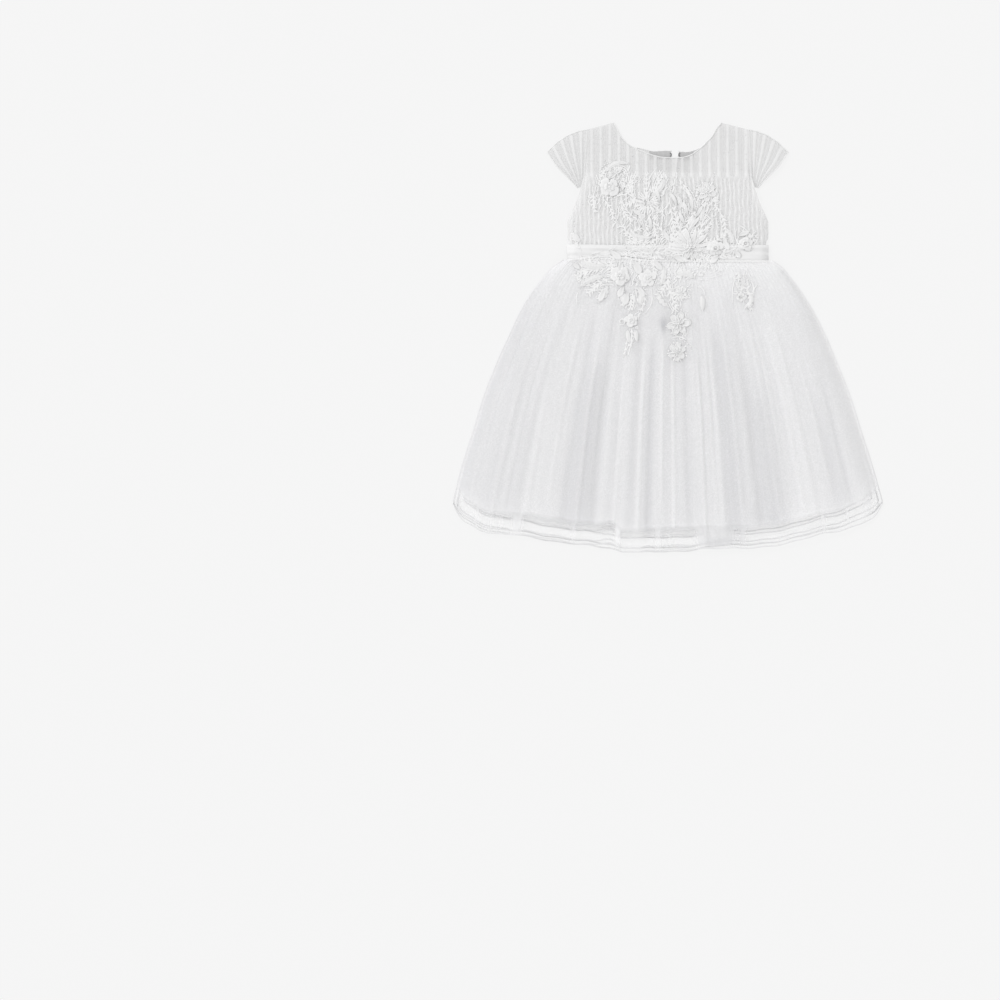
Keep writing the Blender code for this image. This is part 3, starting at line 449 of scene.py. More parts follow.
CURLS = table(
    Curls, 1,
    (-34, 118, 18, 13, 3.8), (-60, 206, 16, 9, 3.4), (-98, 178, 9, 4, 3.0), (-38, 150, 13, 6, 3.2),
    (4, 112, 13, 7, 3.6), (46, 103, 12, 5, 3.4), (82, 118, 12, 6, 3.2), (110, 126, 9, 4, 3.0),
    (-100, 88, 17, 10, 3.4), (-92, 60, 13, 6, 3.2), (-44, 92, 12, 5, 3.4), (-36, 56, 12, 5, 3.2),
    (24, 60, 11, 5, 3.2), (-44, 12, 8, 3, 2.8), (14, -2, 10, 4, 3.0), (98, 60, 13, 7, 3.0),
    (10, 186, 12, 4, 3.0), (58, 168, 11, 4, 3.0),
)


class Patch(NamedTuple):
    """A stretch of close short strokes, which run in about one direction in degrees."""
    middle: Point
    half_x: float
    half_y: float
    count: int
    turn: float


PATCHES = table(
    Patch, 1,
    (-66, 198, 26, 22, 34, 60), (-28, 166, 26, 26, 40, 80), (10, 152, 22, 28, 34, 78),
    (36, 150, 18, 24, 24, 60), (-26, 120, 30, 14, 34, 20), (34, 112, 34, 12, 34, 0),
    (92, 122, 24, 13, 20, 50), (-96, 80, 24, 22, 34, 20), (-52, 82, 20, 22, 26, 70),
    (4, 74, 26, 20, 26, 60), (-20, 109, 34, 9, 52, 20), (44, 110, 36, 9, 56, 150),
    (-8, 196, 20, 14, 22, 80), (50, 176, 16, 18, 20, 75), (-90, 184, 10, 22, 14, 80),
    (-62, 150, 14, 16, 16, 60), (-78, 104, 26, 8, 20, 0), (50, 82, 18, 12, 10, 20),
    (-46, 34, 11, 20, 12, 80), (12, 18, 12, 24, 14, 60), (100, 60, 12, 24, 16, 70),
)


class Petal(NamedTuple):
    """A smooth loose petal: its root, its tip and its half width."""
    root: Point
    tip: Point
    half_width: float


LOOSE_PETALS = table(
    Petal, 2,
    (24, 116, -2, 122, 2.6), (24, 118, 2, 132, 2.6), (26, 120, 10, 140, 2.6),
    (29, 121, 23, 143, 2.6), (32, 121, 37, 142, 2.6), (35, 119, 52, 135, 2.6),
    (36, 116, 60, 124, 2.6), (22, 146, 14, 164, 2.4), (26, 158, 20, 178, 2.4),
    (32, 164, 30, 184, 2.4), (36, 156, 46, 172, 2.4), (30, 142, 42, 158, 2.4),
    (12, 172, 4, 188, 2.3), (-10, 176, -16, 194, 2.3), (-30, 140, -38, 158, 2.4),
    (-22, 138, -24, 158, 2.4), (-60, 96, -67, 67, 6.5), (-44, 99, -35, 80, 5.2),
    (-38, 65, -31, 51, 4.2), (-58, 65, -65, 51, 4.2), (-52, 58, -57, 40, 4.4),
    (-18, 99, -7, 86, 4.0), (-82, 62, -90, 45, 4.2), (-74, 112, -60, 100, 4.4),
    (8, 104, 27, 98, 4.0), (66, 105, 54, 96, 4.0), (-124, 96, -114, 88, 3.0),
    (-70, 211, -58, 222, 3.4), (72, 128, 80, 112, 3.6), (92, 132, 107, 138, 3.4),
    (88, 112, 94, 102, 3.6), (-6, 140, 2, 124, 3.0),
)

# Dark beads in the hearts of the small blossoms, whose grey is painted shade
SHADED_HEARTS = table(
    Point, 0,
    (-62.8, 194.7), (-56.7, 193.7), (-53.7, 74.1), (-43.4, 71.9), (60.4, 114.4), (67.5, 113.1),
    (93.2, 72.8), (93.2, 52.0), (102.6, 54.1), (109.6, 44.2), (103.7, 36.5), (30.0, 115.0),
)
SHADED_HEART_RADIUS = 1.0
# The cords' turn from one of a crowd to the next, in radians, which spreads them evenly
CROWD_TURN = 2.4


class BeadRun(NamedTuple):
    """A run of beads along a bent line."""
    start: Point
    end: Point
    bend: float
    count: int
    radius: float


BEAD_RUNS = table(
    BeadRun, 2,
    (-88, 214, -78, 226, 3, 5, 1.2), (-72, 208, -56, 206, 4, 6, 1.3),
    (-66, 216, -50, 212, 3, 5, 1.1), (-60, 200, -56, 184, -3, 5, 1.1),
    (-44, 160, -34, 142, 3, 6, 1.0), (-10, 158, 6, 140, -4, 7, 1.0), (58, 160, 66, 138, 4, 7, 1.0),
    (20, 180, 38, 196, -3, 6, 1.1), (-64, 124, -54, 112, 3, 5, 1.1), (-4, 104, 20, 98, -4, 7, 1.2),
    (78, 110, 88, 104, 2, 4, 1.1), (-120, 84, -112, 70, 4, 5, 1.1), (-30, 96, -22, 88, 2, 3, 1.3),
    (108, 48, 104, 36, 2, 4, 1.1), (98, 80, 104, 74, 1, 3, 1.1), (22, -6, 30, -18, 2, 4, 1.1),
    (-54, -12, -56, -22, 1, 3, 1.0),
)


# Shader maths

class Wire:
    """A shader socket. An expression on it adds the Math nodes that it needs."""

    def __init__(self, paint: "Paint", socket: bpy.types.NodeSocket) -> None:
        """Wrap one output socket of a material."""
        self.paint = paint
        self.socket = socket

    def maths(self, operation: str, first: Value, second: Value = 0.0) -> "Wire":
        """Join two values with one Math node.

        Args:
            operation: the Math node's operation.
            first: its first value.
            second: its second value.

        Returns:
            The result.
        """
        return self.paint.node("ShaderNodeMath", {"operation": operation}, {0: first, 1: second})

    def __add__(self, other: Value) -> "Wire":
        """Sum."""
        return self.maths("ADD", self, other)

    __radd__ = __add__

    def __mul__(self, other: Value) -> "Wire":
        """Product."""
        return self.maths("MULTIPLY", self, other)

    __rmul__ = __mul__

    def __sub__(self, other: Value) -> "Wire":
        """Difference."""
        return self.maths("SUBTRACT", self, other)

    def __rsub__(self, other: Value) -> "Wire":
        """Difference from a number."""
        return self.maths("SUBTRACT", other, self)

    def sine(self) -> "Wire":
        """Sine of the value in radians."""
        return self.maths("SINE", self)

    def within(self, low: float, high: float) -> "Wire":
        """0 at low, 1 at high, and an even rise between.

        Args:
            low: where the rise starts.
            high: where it ends.

        Returns:
            The clamped share.
        """
        return self.paint.node(
            "ShaderNodeMapRange", {"interpolation_type": "SMOOTHSTEP", "clamp": True},
            {"Value": self, "From Min": low, "From Max": high},
        )


class Paint:
    """The node tree of one material."""

    def __init__(self, name: str) -> None:
        """Make the material and keep its shader.

        Args:
            name: the material's name.
        """
        self.material = bpy.data.materials.new(name)
        self.material.use_nodes = True
        self.tree = self.material.node_tree
        self.shader = self.tree.nodes["Principled BSDF"]

    def node(self, kind: str, settings: dict[str, Any], inputs: dict[Any, Any],
             output: Union[int, str] = 0) -> Wire:
        """Add a node, set it, and then join its inputs.

        Args:
            kind: the node's type.
            settings: its own settings.
            inputs: a number, colour or Wire for each socket, by name or index.
            output: the socket to hand back.

        Returns:
            The output as a Wire.
        """
        made = self.tree.nodes.new(kind)
        for name, value in settings.items():
            setattr(made, name, value)
        for key, value in inputs.items():
            if isinstance(value, Wire):
                self.tree.links.new(value.socket, made.inputs[key])
            else:
                made.inputs[key].default_value = value
        return Wire(self, made.outputs[output])

    def feed(self, socket: str, value: Any) -> None:
        """Join a Wire to one of the shader's sockets, or set it.

        Args:
            socket: the shader's socket.
            value: a Wire, a number or a colour.
        """
        if isinstance(value, Wire):
            self.tree.links.new(value.socket, self.shader.inputs[socket])
        else:
            self.shader.inputs[socket].default_value = value

    def places(self) -> Wire:
        """Object coordinates in metres."""
        return self.node("ShaderNodeTexCoord", {}, {}, "Object")

    def axis(self, index: int) -> Wire:
        """One coordinate of the place, in metres: 0 across, 1 up the dress, 2 off the floor."""
        return self.node("ShaderNodeSeparateXYZ", {}, {0: self.places()}, index)

    def noise(self, pitch: float, detail: float = 2.0) -> Wire:
        """Soft cloudy values from 0 to 1.

        Args:
            pitch: size of one cloud, in millimetres.
            detail: how many finer clouds are added.

        Returns:
            The values.
        """
        return self.node(
            "ShaderNodeTexNoise", {},
            {"Vector": self.places(), "Scale": 1 / (pitch * MM), "Detail": detail}, "Fac",
        )

    def cells(self, pitch: float, wire: float) -> Wire:
        """An uneven net: 1 on its threads and 0 in its holes.

        Args:
            pitch: size of one hole, in millimetres.
            wire: share of the hole that a thread covers.

        Returns:
            The mask.
        """
        away = self.node(
            "ShaderNodeTexVoronoi", {"feature": "DISTANCE_TO_EDGE"},
            {"Vector": self.places(), "Scale": 1 / (pitch * MM)}, "Distance",
        )
        return 1 - away.within(wire * 0.4, wire)

    def kept(self, value: Wire) -> Wire:
        """A value held between 0 and 1."""
        return self.node("ShaderNodeClamp", {}, {"Value": value})

    def wave(self, index: int, pitch: float) -> Wire:
        """A sine from 0 to 1 along one axis, with one wave a pitch in millimetres."""
        return (self.axis(index) * (2 * math.pi / (pitch * MM))).sine() * 0.5 + 0.5

    def value_on_mesh(self, name: str) -> Wire:
        """A value kept at the mesh's points."""
        return self.node("ShaderNodeAttribute", {"attribute_name": name}, {}, "Fac")

    def mixed(self, share: Value, first: Sequence[float], second: Sequence[float]) -> Wire:
        """A colour between two.

        Args:
            share: 0 gives the first and 1 the second.
            first: a colour.
            second: a colour.

        Returns:
            The mixed colour.
        """
        return self.node("ShaderNodeMix", {"data_type": "RGBA"}, {0: share, 6: first, 7: second}, 2)

    def bumped(self, height: Wire, relief: float) -> None:
        """Raise the surface by a height of 0 to 1.

        Args:
            height: the relief's shape.
            relief: its depth in millimetres.
        """
        self.feed("Normal", self.node("ShaderNodeBump", {}, {"Distance": relief * MM, "Height": height}))


class Weave(Enum):
    """How a cloth is made."""
    NET = "open net"
    STRIPE = "sheer stripes"
    PLAIN = "plain weave"
    SATIN = "satin"
    LACE = "packed embroidery thread"


@dataclass(frozen=True)
class Cloth:
    """The finish of a cloth: its colours, cover and weave."""
    name: str
    weave: Weave
    colour: tuple[float, float, float, float]
    # The colour of full painted shade, which a value on the mesh mixes in
    hollow: tuple[float, float, float, float]
    roughness: float
    cover: float
    pitch: float
    relief: float
    sheen: float = 0.0

    def material(self) -> bpy.types.Material:
        """The material, made once.

        Returns:
            The material.
        """
        found = bpy.data.materials.get(self.name)
        if found:
            return found
        paint = Paint(self.name)
        paint.feed("Sheen Weight", self.sheen)
        paint.feed("Sheen Roughness", 0.5)
        paint.feed("Specular IOR Level", 0.35 if self.weave is Weave.SATIN else 0.2)
        # Painted shade: a value on the mesh mixes in the shade colour, and a faint cloud adds uneven tone
        depth = paint.value_on_mesh("depth")
        cloud = paint.noise(38.0)
        share = paint.kept(depth + (cloud - 0.5) * 0.08)
        paint.feed("Base Color", paint.mixed(share, self.colour, self.hollow))
        getattr(self, "_" + self.weave.name.lower())(paint)
        return paint.material

    def _net(self, paint: Paint) -> None:
        """Open net: threads with holes between, closer where the net is turned over.

        Args:
            paint: the material's nodes.
        """
        threads = paint.cells(self.pitch, 0.22)
        dense = paint.value_on_mesh("dense")
        cover = threads * (0.05 + dense * 0.25) + self.cover
        paint.feed("Alpha", paint.kept(cover + dense) * 0.98)
        paint.feed("Roughness", paint.noise(3.0) * 0.1 + self.roughness)
        paint.bumped(threads, self.relief)

    def _stripe(self, paint: Paint) -> None:
        """Sheer ground with close ribs: the mesh says where the ribs are.

        Args:
            paint: the material's nodes.
        """
        rib = paint.value_on_mesh("dense")
        threads = paint.cells(self.pitch, 0.3)
        fine = paint.wave(1, 1.6)
        paint.feed("Alpha", paint.kept(rib * (1 - self.cover) + threads * 0.16 + self.cover * 0.85))
        paint.feed("Roughness", threads * 0.15 + self.roughness)
        paint.bumped(threads * 0.5 + fine * rib * 0.5, self.relief)

    def _plain(self, paint: Paint) -> None:
        """Closely woven lining.

        Args:
            paint: the material's nodes.
        """
        weave = paint.wave(0, self.pitch) * paint.wave(1, self.pitch)
        paint.feed("Roughness", paint.noise(12.0) * 0.15 + self.roughness)
        paint.bumped(weave * 0.4 + paint.noise(18.0) * 0.6, self.relief)

    def _satin(self, paint: Paint) -> None:
        """Smooth band with a fine lengthwise thread.

        Args:
            paint: the material's nodes.
        """
        slub = paint.wave(1, self.pitch)
        paint.feed("Roughness", paint.noise(20.0) * 0.2 + self.roughness)
        paint.bumped(slub * 0.2 + paint.noise(22.0) * 0.8, self.relief)

    def _lace(self, paint: Paint) -> None:
        """Packed thread with a fine uneven grain.

        Args:
            paint: the material's nodes.
        """
        grain = paint.noise(self.pitch, 3.0)
        paint.feed("Roughness", grain * 0.3 + self.roughness)
        paint.bumped(grain, self.relief)


@dataclass(frozen=True)
class Shine:
    """The finish of a hard piece: beads and the fastener's wire."""
    name: str
    colour: tuple[float, float, float, float]
    worn: tuple[float, float, float, float]
    roughness: float
    metallic: float
    coat: float

    def material(self) -> bpy.types.Material:
        """The material, made once.

        Returns:
            The material.
        """
        found = bpy.data.materials.get(self.name)
        if found:
            return found
        paint = Paint(self.name)
        paint.feed("Metallic", self.metallic)
        paint.feed("Coat Weight", self.coat)
        cloud = paint.noise(1.6, 3.0)
        paint.feed("Base Color", paint.mixed(cloud.within(0.35, 0.7), self.colour, self.worn))
        paint.feed("Roughness", cloud * 0.2 + self.roughness)
        paint.bumped(cloud, 0.04)
        return paint.material


def grey(level: float, blue: float = 0.0) -> tuple[float, float, float, float]:
    """A near-white colour: its level, and how much bluer it is."""
    return (level - blue * 0.5, level - blue * 0.5, level + blue * 0.5, 1.0)


NET = Cloth("soft_net", Weave.NET, grey(0.97, 0.006), grey(0.70, 0.02), 0.85, 0.04, 1.1, 0.05)
INNER_NET = Cloth("inner_net", Weave.NET, grey(0.97, 0.006), grey(0.70, 0.02), 0.85, 0.05, 1.1, 0.05)
SKIRT_LINING = Cloth(
    "skirt_lining_cloth", Weave.PLAIN, grey(0.96, 0.006), grey(0.70, 0.02), 0.6, 1.0, 0.7, 0.05)
BODICE_LINING = Cloth("bodice_lining_cloth", Weave.PLAIN, grey(0.95), grey(0.90), 0.6, 1.0, 0.7, 0.05)
STRIPED = Cloth("striped_sheer", Weave.STRIPE, grey(0.825), grey(0.70), 0.75, 0.55, 1.0, 0.06)
SATIN = Cloth("satin_band", Weave.SATIN, grey(0.80), grey(0.72), 0.42, 1.0, 0.5, 0.2)
LACE = Cloth("lace_thread", Weave.LACE, grey(0.83), grey(0.72), 0.6, 1.0, 0.7, 0.08)
BINDING = Cloth("binding_cloth", Weave.PLAIN, grey(0.81), grey(0.76), 0.7, 1.0, 0.7, 0.1)
# A dark cloth for the strip inside the back of the neck: painted shade
SHADE_STRIP = Cloth("neck_facing_cloth", Weave.PLAIN, grey(0.56), grey(0.46), 0.7, 1.0, 0.7, 0.1)
# The rolled edges' grey, darker than the net, is painted shade
ROLLED = Cloth("rolled_net", Weave.PLAIN, grey(0.79, 0.004), grey(0.74, 0.004), 0.8, 1.0, 0.9, 0.1)
BEAD = Shine("pearl_bead", grey(0.82), grey(0.76), 0.22, 0.0, 0.3)
# Dark beads whose grey is painted shade in the blossoms' hearts
SHADED_HEART = Shine("grey_stone", grey(0.42), grey(0.55), 0.2, 0.0, 0.5)
# The hook and bar: their near black is painted shade on small metal pieces
SHADED_WIRE = Shine("dark_wire", grey(0.10, 0.004), grey(0.20, 0.004), 0.30, 0.9, 0.0)
# The skirt's layers, from the outside in, and what each is made of
SKIRT_CLOTHS = ((OUTER, NET), (MIDDLE, NET), (INNER, INNER_NET), (LINING, SKIRT_LINING))


# Shapes on a grid

def smooth_step(share: Array) -> Array:
    """0 below 0, 1 above 1, and an even rise between."""
    share = np.clip(share, 0.0, 1.0)
    return share * share * (3 - 2 * share)


def bell(away: Array, power: int = 2) -> Array:
    """1 at 0, and an even fall on both sides: steeper with a higher power."""
    return np.exp(-(away ** power))


def window(share: Array, start: float, end: float, rise: float, fall: float) -> Array:
    """0 up to a start, 1 after its rise, and back to 0 at an end.

    Args:
        share: the places.
        start: where the rise starts.
        end: where the fall ends.
        rise: the rise's length.
        fall: the fall's length.

    Returns:
        The share of full strength at each place.
    """
    return smooth_step((share - start) / rise) * smooth_step((end - share) / fall)


def curve_at(xs: Sequence[float], ys: Sequence[float], at: Array) -> Array:
    """A smooth curve through points, read at some places.

    Args:
        xs: rising places of the points.
        ys: their values.
        at: the places to read.

    Returns:
        The values there.
    """
    xs = np.asarray(xs, float)
    ys = np.asarray(ys, float)
    at = np.clip(np.asarray(at, float), xs[0], xs[-1])
    slopes = np.gradient(ys, xs)
    cell = np.clip(np.searchsorted(xs, at, side="right") - 1, 0, len(xs) - 2)
    width = xs[cell + 1] - xs[cell]
    t = (at - xs[cell]) / width
    start = ys[cell] * (1 + 2 * t) * (1 - t) ** 2 + ys[cell + 1] * t * t * (3 - 2 * t)
    return start + width * (slopes[cell] * t * (1 - t) ** 2 - slopes[cell + 1] * t * t * (1 - t))


def outline_at(points: Sequence[Point], at: Array) -> Array:
    """Height of an outline at places across."""
    return curve_at([point.x for point in points], [point.y for point in points], at)


def softened(z: Array, rows: float, columns: float) -> Array:
    """A height field with its facets smoothed away and its edges kept.

    Args:
        z: heights on a grid.
        rows: reach along the rows' axis, in grid steps.
        columns: reach along the columns' axis, in grid steps.

    Returns:
        The smoothed heights.
    """
    for axis, reach in ((0, rows), (1, columns)):
        count = min(int(reach * 3), z.shape[axis] - 1)
        if count < 1:
            continue
        shares = np.exp(-0.5 * (np.arange(-count, count + 1) / reach) ** 2)
        shares /= shares.sum()
        padding = [(count, count) if each == axis else (0, 0) for each in (0, 1)]
        wide = np.pad(z, padding, mode="reflect", reflect_type="odd")
        size = z.shape[axis]
        z = sum(share * wide.take(range(step, step + size), axis) for step, share in enumerate(shares))
    return z


def hollow_shade_of(z: Array, reach: float) -> Array:
    """Painted shade in the hollows: how deep each place lies among its neighbours, from 0 to 1."""
    hollow = softened(z, reach, reach) - z
    return np.clip(hollow / FULL_DEPTH, 0.0, 1.0)


def filled(z: Array) -> Array:
    """Heights with their mean where the surface ends."""
    return np.where(np.isnan(z), np.nanmean(z), z)


class Ground:
    """What a piece lies on, read from above or from below, in millimetres."""

    def __init__(self, *objects: Piece) -> None:
        """Keep a search tree for each mesh.

        Args:
            objects: the pieces.
        """
        self.trees = []
        for each in objects:
            points = [vert.co for vert in each.data.vertices]
            faces = [tuple(face.vertices) for face in each.data.polygons]
            self.trees.append(BVHTree.FromPolygons(points, faces))

    def with_more(self, *objects: Piece) -> "Ground":
        """A ground with more pieces on it.

        Args:
            objects: the pieces to add.

        Returns:
            The wider ground.
        """
        wider = Ground(*objects)
        wider.trees = self.trees + wider.trees
        return wider

    def _read(self, x: Array, y: Array, from_z: float, down: float) -> Array:
        """Cast a ray at each place and keep the first height.

        Args:
            x: places across.
            y: places up the dress.
            from_z: where the rays start, in metres.
            down: their direction along Z, -1 or 1.

        Returns:
            The heights, or nan where there are none.
        """
        found = np.full(x.size, np.nan)
        way = Vector((0, 0, down))
        for index, (at_x, at_y) in enumerate(zip(x.ravel(), y.ravel())):
            start = Vector((at_x * MM, at_y * MM, from_z))
            for tree in self.trees:
                spot = tree.ray_cast(start, way)[0]
                if spot is not None:
                    height = spot.z / MM
                    if np.isnan(found[index]) or (height - found[index]) * down < 0:
                        found[index] = height
        return found.reshape(x.shape)

    def top(self, x: Array, y: Array) -> Array:
        """Highest point over each place, or nan where there is none."""
        return self._read(x, y, RAY_FROM, -1.0)

    def along(self, xs: Array, ys: Array) -> Array:
        """Highest point over each place of a line, or nan where there is none."""
        return self.top(xs[None, :], ys[None, :])[0]

    def under(self, x: Array, y: Array) -> Array:
        """Lowest point over each place, and the nearest one's beside the mesh.

        Args:
            x: places across.
            y: places up the dress.

        Returns:
            The heights.
        """
        found = self._read(x, y, -RAY_FROM, 1.0)
        for row, column in np.argwhere(np.isnan(found)):
            spot = Vector((x[row, column] * MM, y[row, column] * MM, 0.0))
            found[row, column] = min(tree.find_nearest(spot)[0].z for tree in self.trees) / MM
        return found


def node_ground(name: str) -> Ground:
    """The solid that a piece stands for."""
    return Ground(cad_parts[name])


def above(z: Array, ground: Ground, x: Array, y: Array, gap: float = CLEAR) -> Array:
    """A height field lifted clear of what lies under it.

    Args:
        z: the heights.
        ground: what lies under.
        x: places across.
        y: places up the dress.
        gap: clearance.

    Returns:
        The lifted heights.
    """
    return np.fmax(z, ground.top(x, y) + gap)


class Pile:
    """Points and faces of a mesh, gathered from as many small shapes as it has."""

    def __init__(self) -> None:
        """Start empty."""
        self.points: list[Array] = []
        self.faces: list[tuple[int, ...]] = []
        self.values: dict[str, list[Array]] = {}
        self.count = 0

    def add(self, points: Array, faces: list[tuple[int, ...]], **values: Array) -> None:
        """Add one shape.

        Args:
            points: its points in millimetres.
            faces: its faces, numbered from its own first point.
            values: numbers kept at its points, by name.
        """
        self.faces += [tuple(index + self.count for index in face) for face in faces]
        for name, numbers in values.items():
            self.values.setdefault(name, []).append(np.asarray(numbers, float).ravel())
        self.points.append(np.asarray(points, float).reshape(-1, 3))
        self.count += len(self.points[-1])

    def grid(self, x: Array, y: Array, z: Array, **values: Array) -> None:
        """Add an open sheet whose upper side faces up.

        Args:
            x: places across.
            y: places up the dress.
            z: heights.
            values: numbers kept at its points, by name.
        """
        rows, columns = x.shape
        corner = (np.arange(rows - 1)[:, None] * columns + np.arange(columns - 1)[None, :]).ravel()
        quads = np.stack([corner, corner + 1, corner + columns + 1, corner + columns], axis=1)
        if (x[0, -1] - x[0, 0]) * (y[-1, 0] - y[0, 0]) < 0:
            quads = quads[:, ::-1]
        self.add(np.stack([x, y, z], axis=-1), [tuple(quad) for quad in quads.tolist()], **values)

    def tube(self, path: Array, radius: Union[float, Array], sides: int = 8, flat: float = 1.0) -> None:
        """Add a closed round cord along a path.

        Args:
            path: points of its middle line.
            radius: its radius, one for all or one for each point.
            sides: points round it.
            flat: its height as a share of its width.
        """
        path = np.asarray(path, float)
        ahead = np.gradient(path, axis=0)
        ahead /= np.linalg.norm(ahead, axis=1, keepdims=True) + 1e-9
        across = np.cross(ahead, (0.0, 0.0, 1.0))
        across /= np.linalg.norm(across, axis=1, keepdims=True) + 1e-9
        up = np.cross(across, ahead)
        turn = np.linspace(0, 2 * math.pi, sides, endpoint=False)
        radius = np.broadcast_to(radius, len(path))[:, None, None]
        lift = flat * np.sin(turn)[None, :, None]
        ring = across[:, None, :] * np.cos(turn)[None, :, None] + up[:, None, :] * lift
        points = path[:, None, :] + ring * radius
        faces = [tuple(range(sides))[::-1]]
        last = (len(path) - 1) * sides
        faces.append(tuple(range(last, last + sides)))
        for step in range(len(path) - 1):
            for side in range(sides):
                here = step * sides + side
                after = step * sides + (side + 1) % sides
                faces.append((here, after, after + sides, here + sides))
        # Painted shade: darker on the cord's underside
        low = np.broadcast_to(np.clip(-np.sin(turn) * 2 + 0.4, 0, 1), (len(path), sides))
        self.add(points, faces, depth=low)

    def bead(self, middle: Sequence[float], radius: float, flat: float = 0.8) -> None:
        """Add a small round bead.

        Args:
            middle: its middle.
            radius: its radius across.
            flat: its height as a share of its width.
        """
        around, levels = 8, 4
        turn = np.linspace(0, 2 * math.pi, around, endpoint=False)
        lift = np.linspace(-math.pi / 2, math.pi / 2, levels + 1)[1:-1]
        ring = np.stack([
            np.outer(np.cos(lift), np.cos(turn)), np.outer(np.cos(lift), np.sin(turn)),
            np.repeat(np.sin(lift)[:, None] * flat, around, axis=1),
        ], axis=-1).reshape(-1, 3)
        points = np.concatenate([[(0, 0, -flat)], ring, [(0, 0, flat)]]) * radius + np.asarray(middle)
        top = len(points) - 1
        faces = []
        for side in range(around):
            after = (side + 1) % around
            faces.append((0, 1 + after, 1 + side))
            faces.append((top, top - around + side, top - around + after))
            for level in range(levels - 2):
                here = 1 + level * around
                faces.append((here + side, here + after, here + around + after, here + around + side))
        self.add(points, faces, depth=np.zeros(len(points)))

    def made(self, name: str, finish: Union[Cloth, Shine]) -> Piece:
        """The piece, with its finish.

        Args:
            name: the piece's name.
            finish: what it is made of.

        Returns:
            The new object.
        """
        mesh = bpy.data.meshes.new(name)
        mesh.from_pydata((np.concatenate(self.points) * MM).tolist(), [], self.faces)
        for key, parts in self.values.items():
            field = mesh.attributes.new(key, "FLOAT", "POINT")
            field.data.foreach_set("value", np.concatenate(parts).astype(np.float32))
        mesh.shade_smooth()
        mesh.materials.append(finish.material())
        made = bpy.data.objects.new(name, mesh)
        bpy.context.scene.collection.objects.link(made)
        return made


def settle(piece: Piece, slot: str, *nodes: str) -> Piece:
    """Fix a piece to the dress and hide the solids it stands for.

    Args:
        piece: the new piece.
        slot: not used.
        nodes: the solids that it stands for.

    Returns:
        The piece.
    """
    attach(piece, "root")
    if nodes:
        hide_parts(*nodes)
    LOG.info("%s: %d faces", piece.name, len(piece.data.polygons))
    return piece


# The skirt

def seam_y(x: Array) -> Array:
    """The waist seam of the front, which the gathers push up on the left."""
    return WAIST_Y + SEAM_RISE * bell((x - SEAM_RISE_X) / SEAM_RISE_HALF)


@dataclass
class SkirtShape:
    """The flat outline of the skirt, which its layers follow."""
    waist: float = WAIST_Y - 0.3
    corner: float = CORNER_Y
    half: float = 279.5
    hem_low: float = -277.0
    lowest: float = -279.2

    def left(self, y: Array) -> Array:
        """Left side at a height."""
        return curve_at([row.y for row in SKIRT_SIDE], [row.left for row in SKIRT_SIDE], y)

    def right(self, y: Array) -> Array:
        """Right side at a height."""
        return curve_at([row.y for row in SKIRT_SIDE], [row.right for row in SKIRT_SIDE], y)

    def hem(self, x: Array, is_front: bool) -> Array:
        """Lowest edge of the outer net.

        Args:
            x: places across.
            is_front: front or back.

        Returns:
            Its Y at each place.
        """
        ys = [row.front if is_front else row.back for row in SKIRT_HEM]
        wave = 0.6 * np.sin(x / 6.1) + 0.5 * np.sin(x / 14.3 + (1.0 if is_front else 2.4))
        return np.maximum(curve_at([row.x for row in SKIRT_HEM], ys, x) + wave, self.lowest)

    def plan(self, layer: Layer, is_front: bool) -> tuple[Array, Array, Array, Array]:
        """Places of a layer's grid.

        Args:
            layer: the layer.
            is_front: front or back.

        Returns:
            x, y, the share across from -1 to 1 and the share down from 0 to 1.
        """
        across = np.linspace(-1, 1, layer.columns + 1)[None, :]
        down = np.linspace(0, 1, layer.rows + 1)[:, None]
        side_y = self.waist + (self.corner - self.waist) * down
        inset = layer.waist_inset + (layer.hem_inset - layer.waist_inset) * down
        left = self.left(side_y) + inset
        right = self.right(side_y) - inset
        x = left + (right - left) * (across + 1) / 2
        out = np.abs(x[-1:]) / (self.half - layer.hem_inset)
        low = self.hem(x[-1:], is_front) + layer.hem_lift + layer.corner * out ** 6
        top = seam_y(x[:1]) + 1.8 if is_front else self.waist
        y = top + (low - top) * down
        return x, y, np.broadcast_to(across, x.shape), np.broadcast_to(down, x.shape)


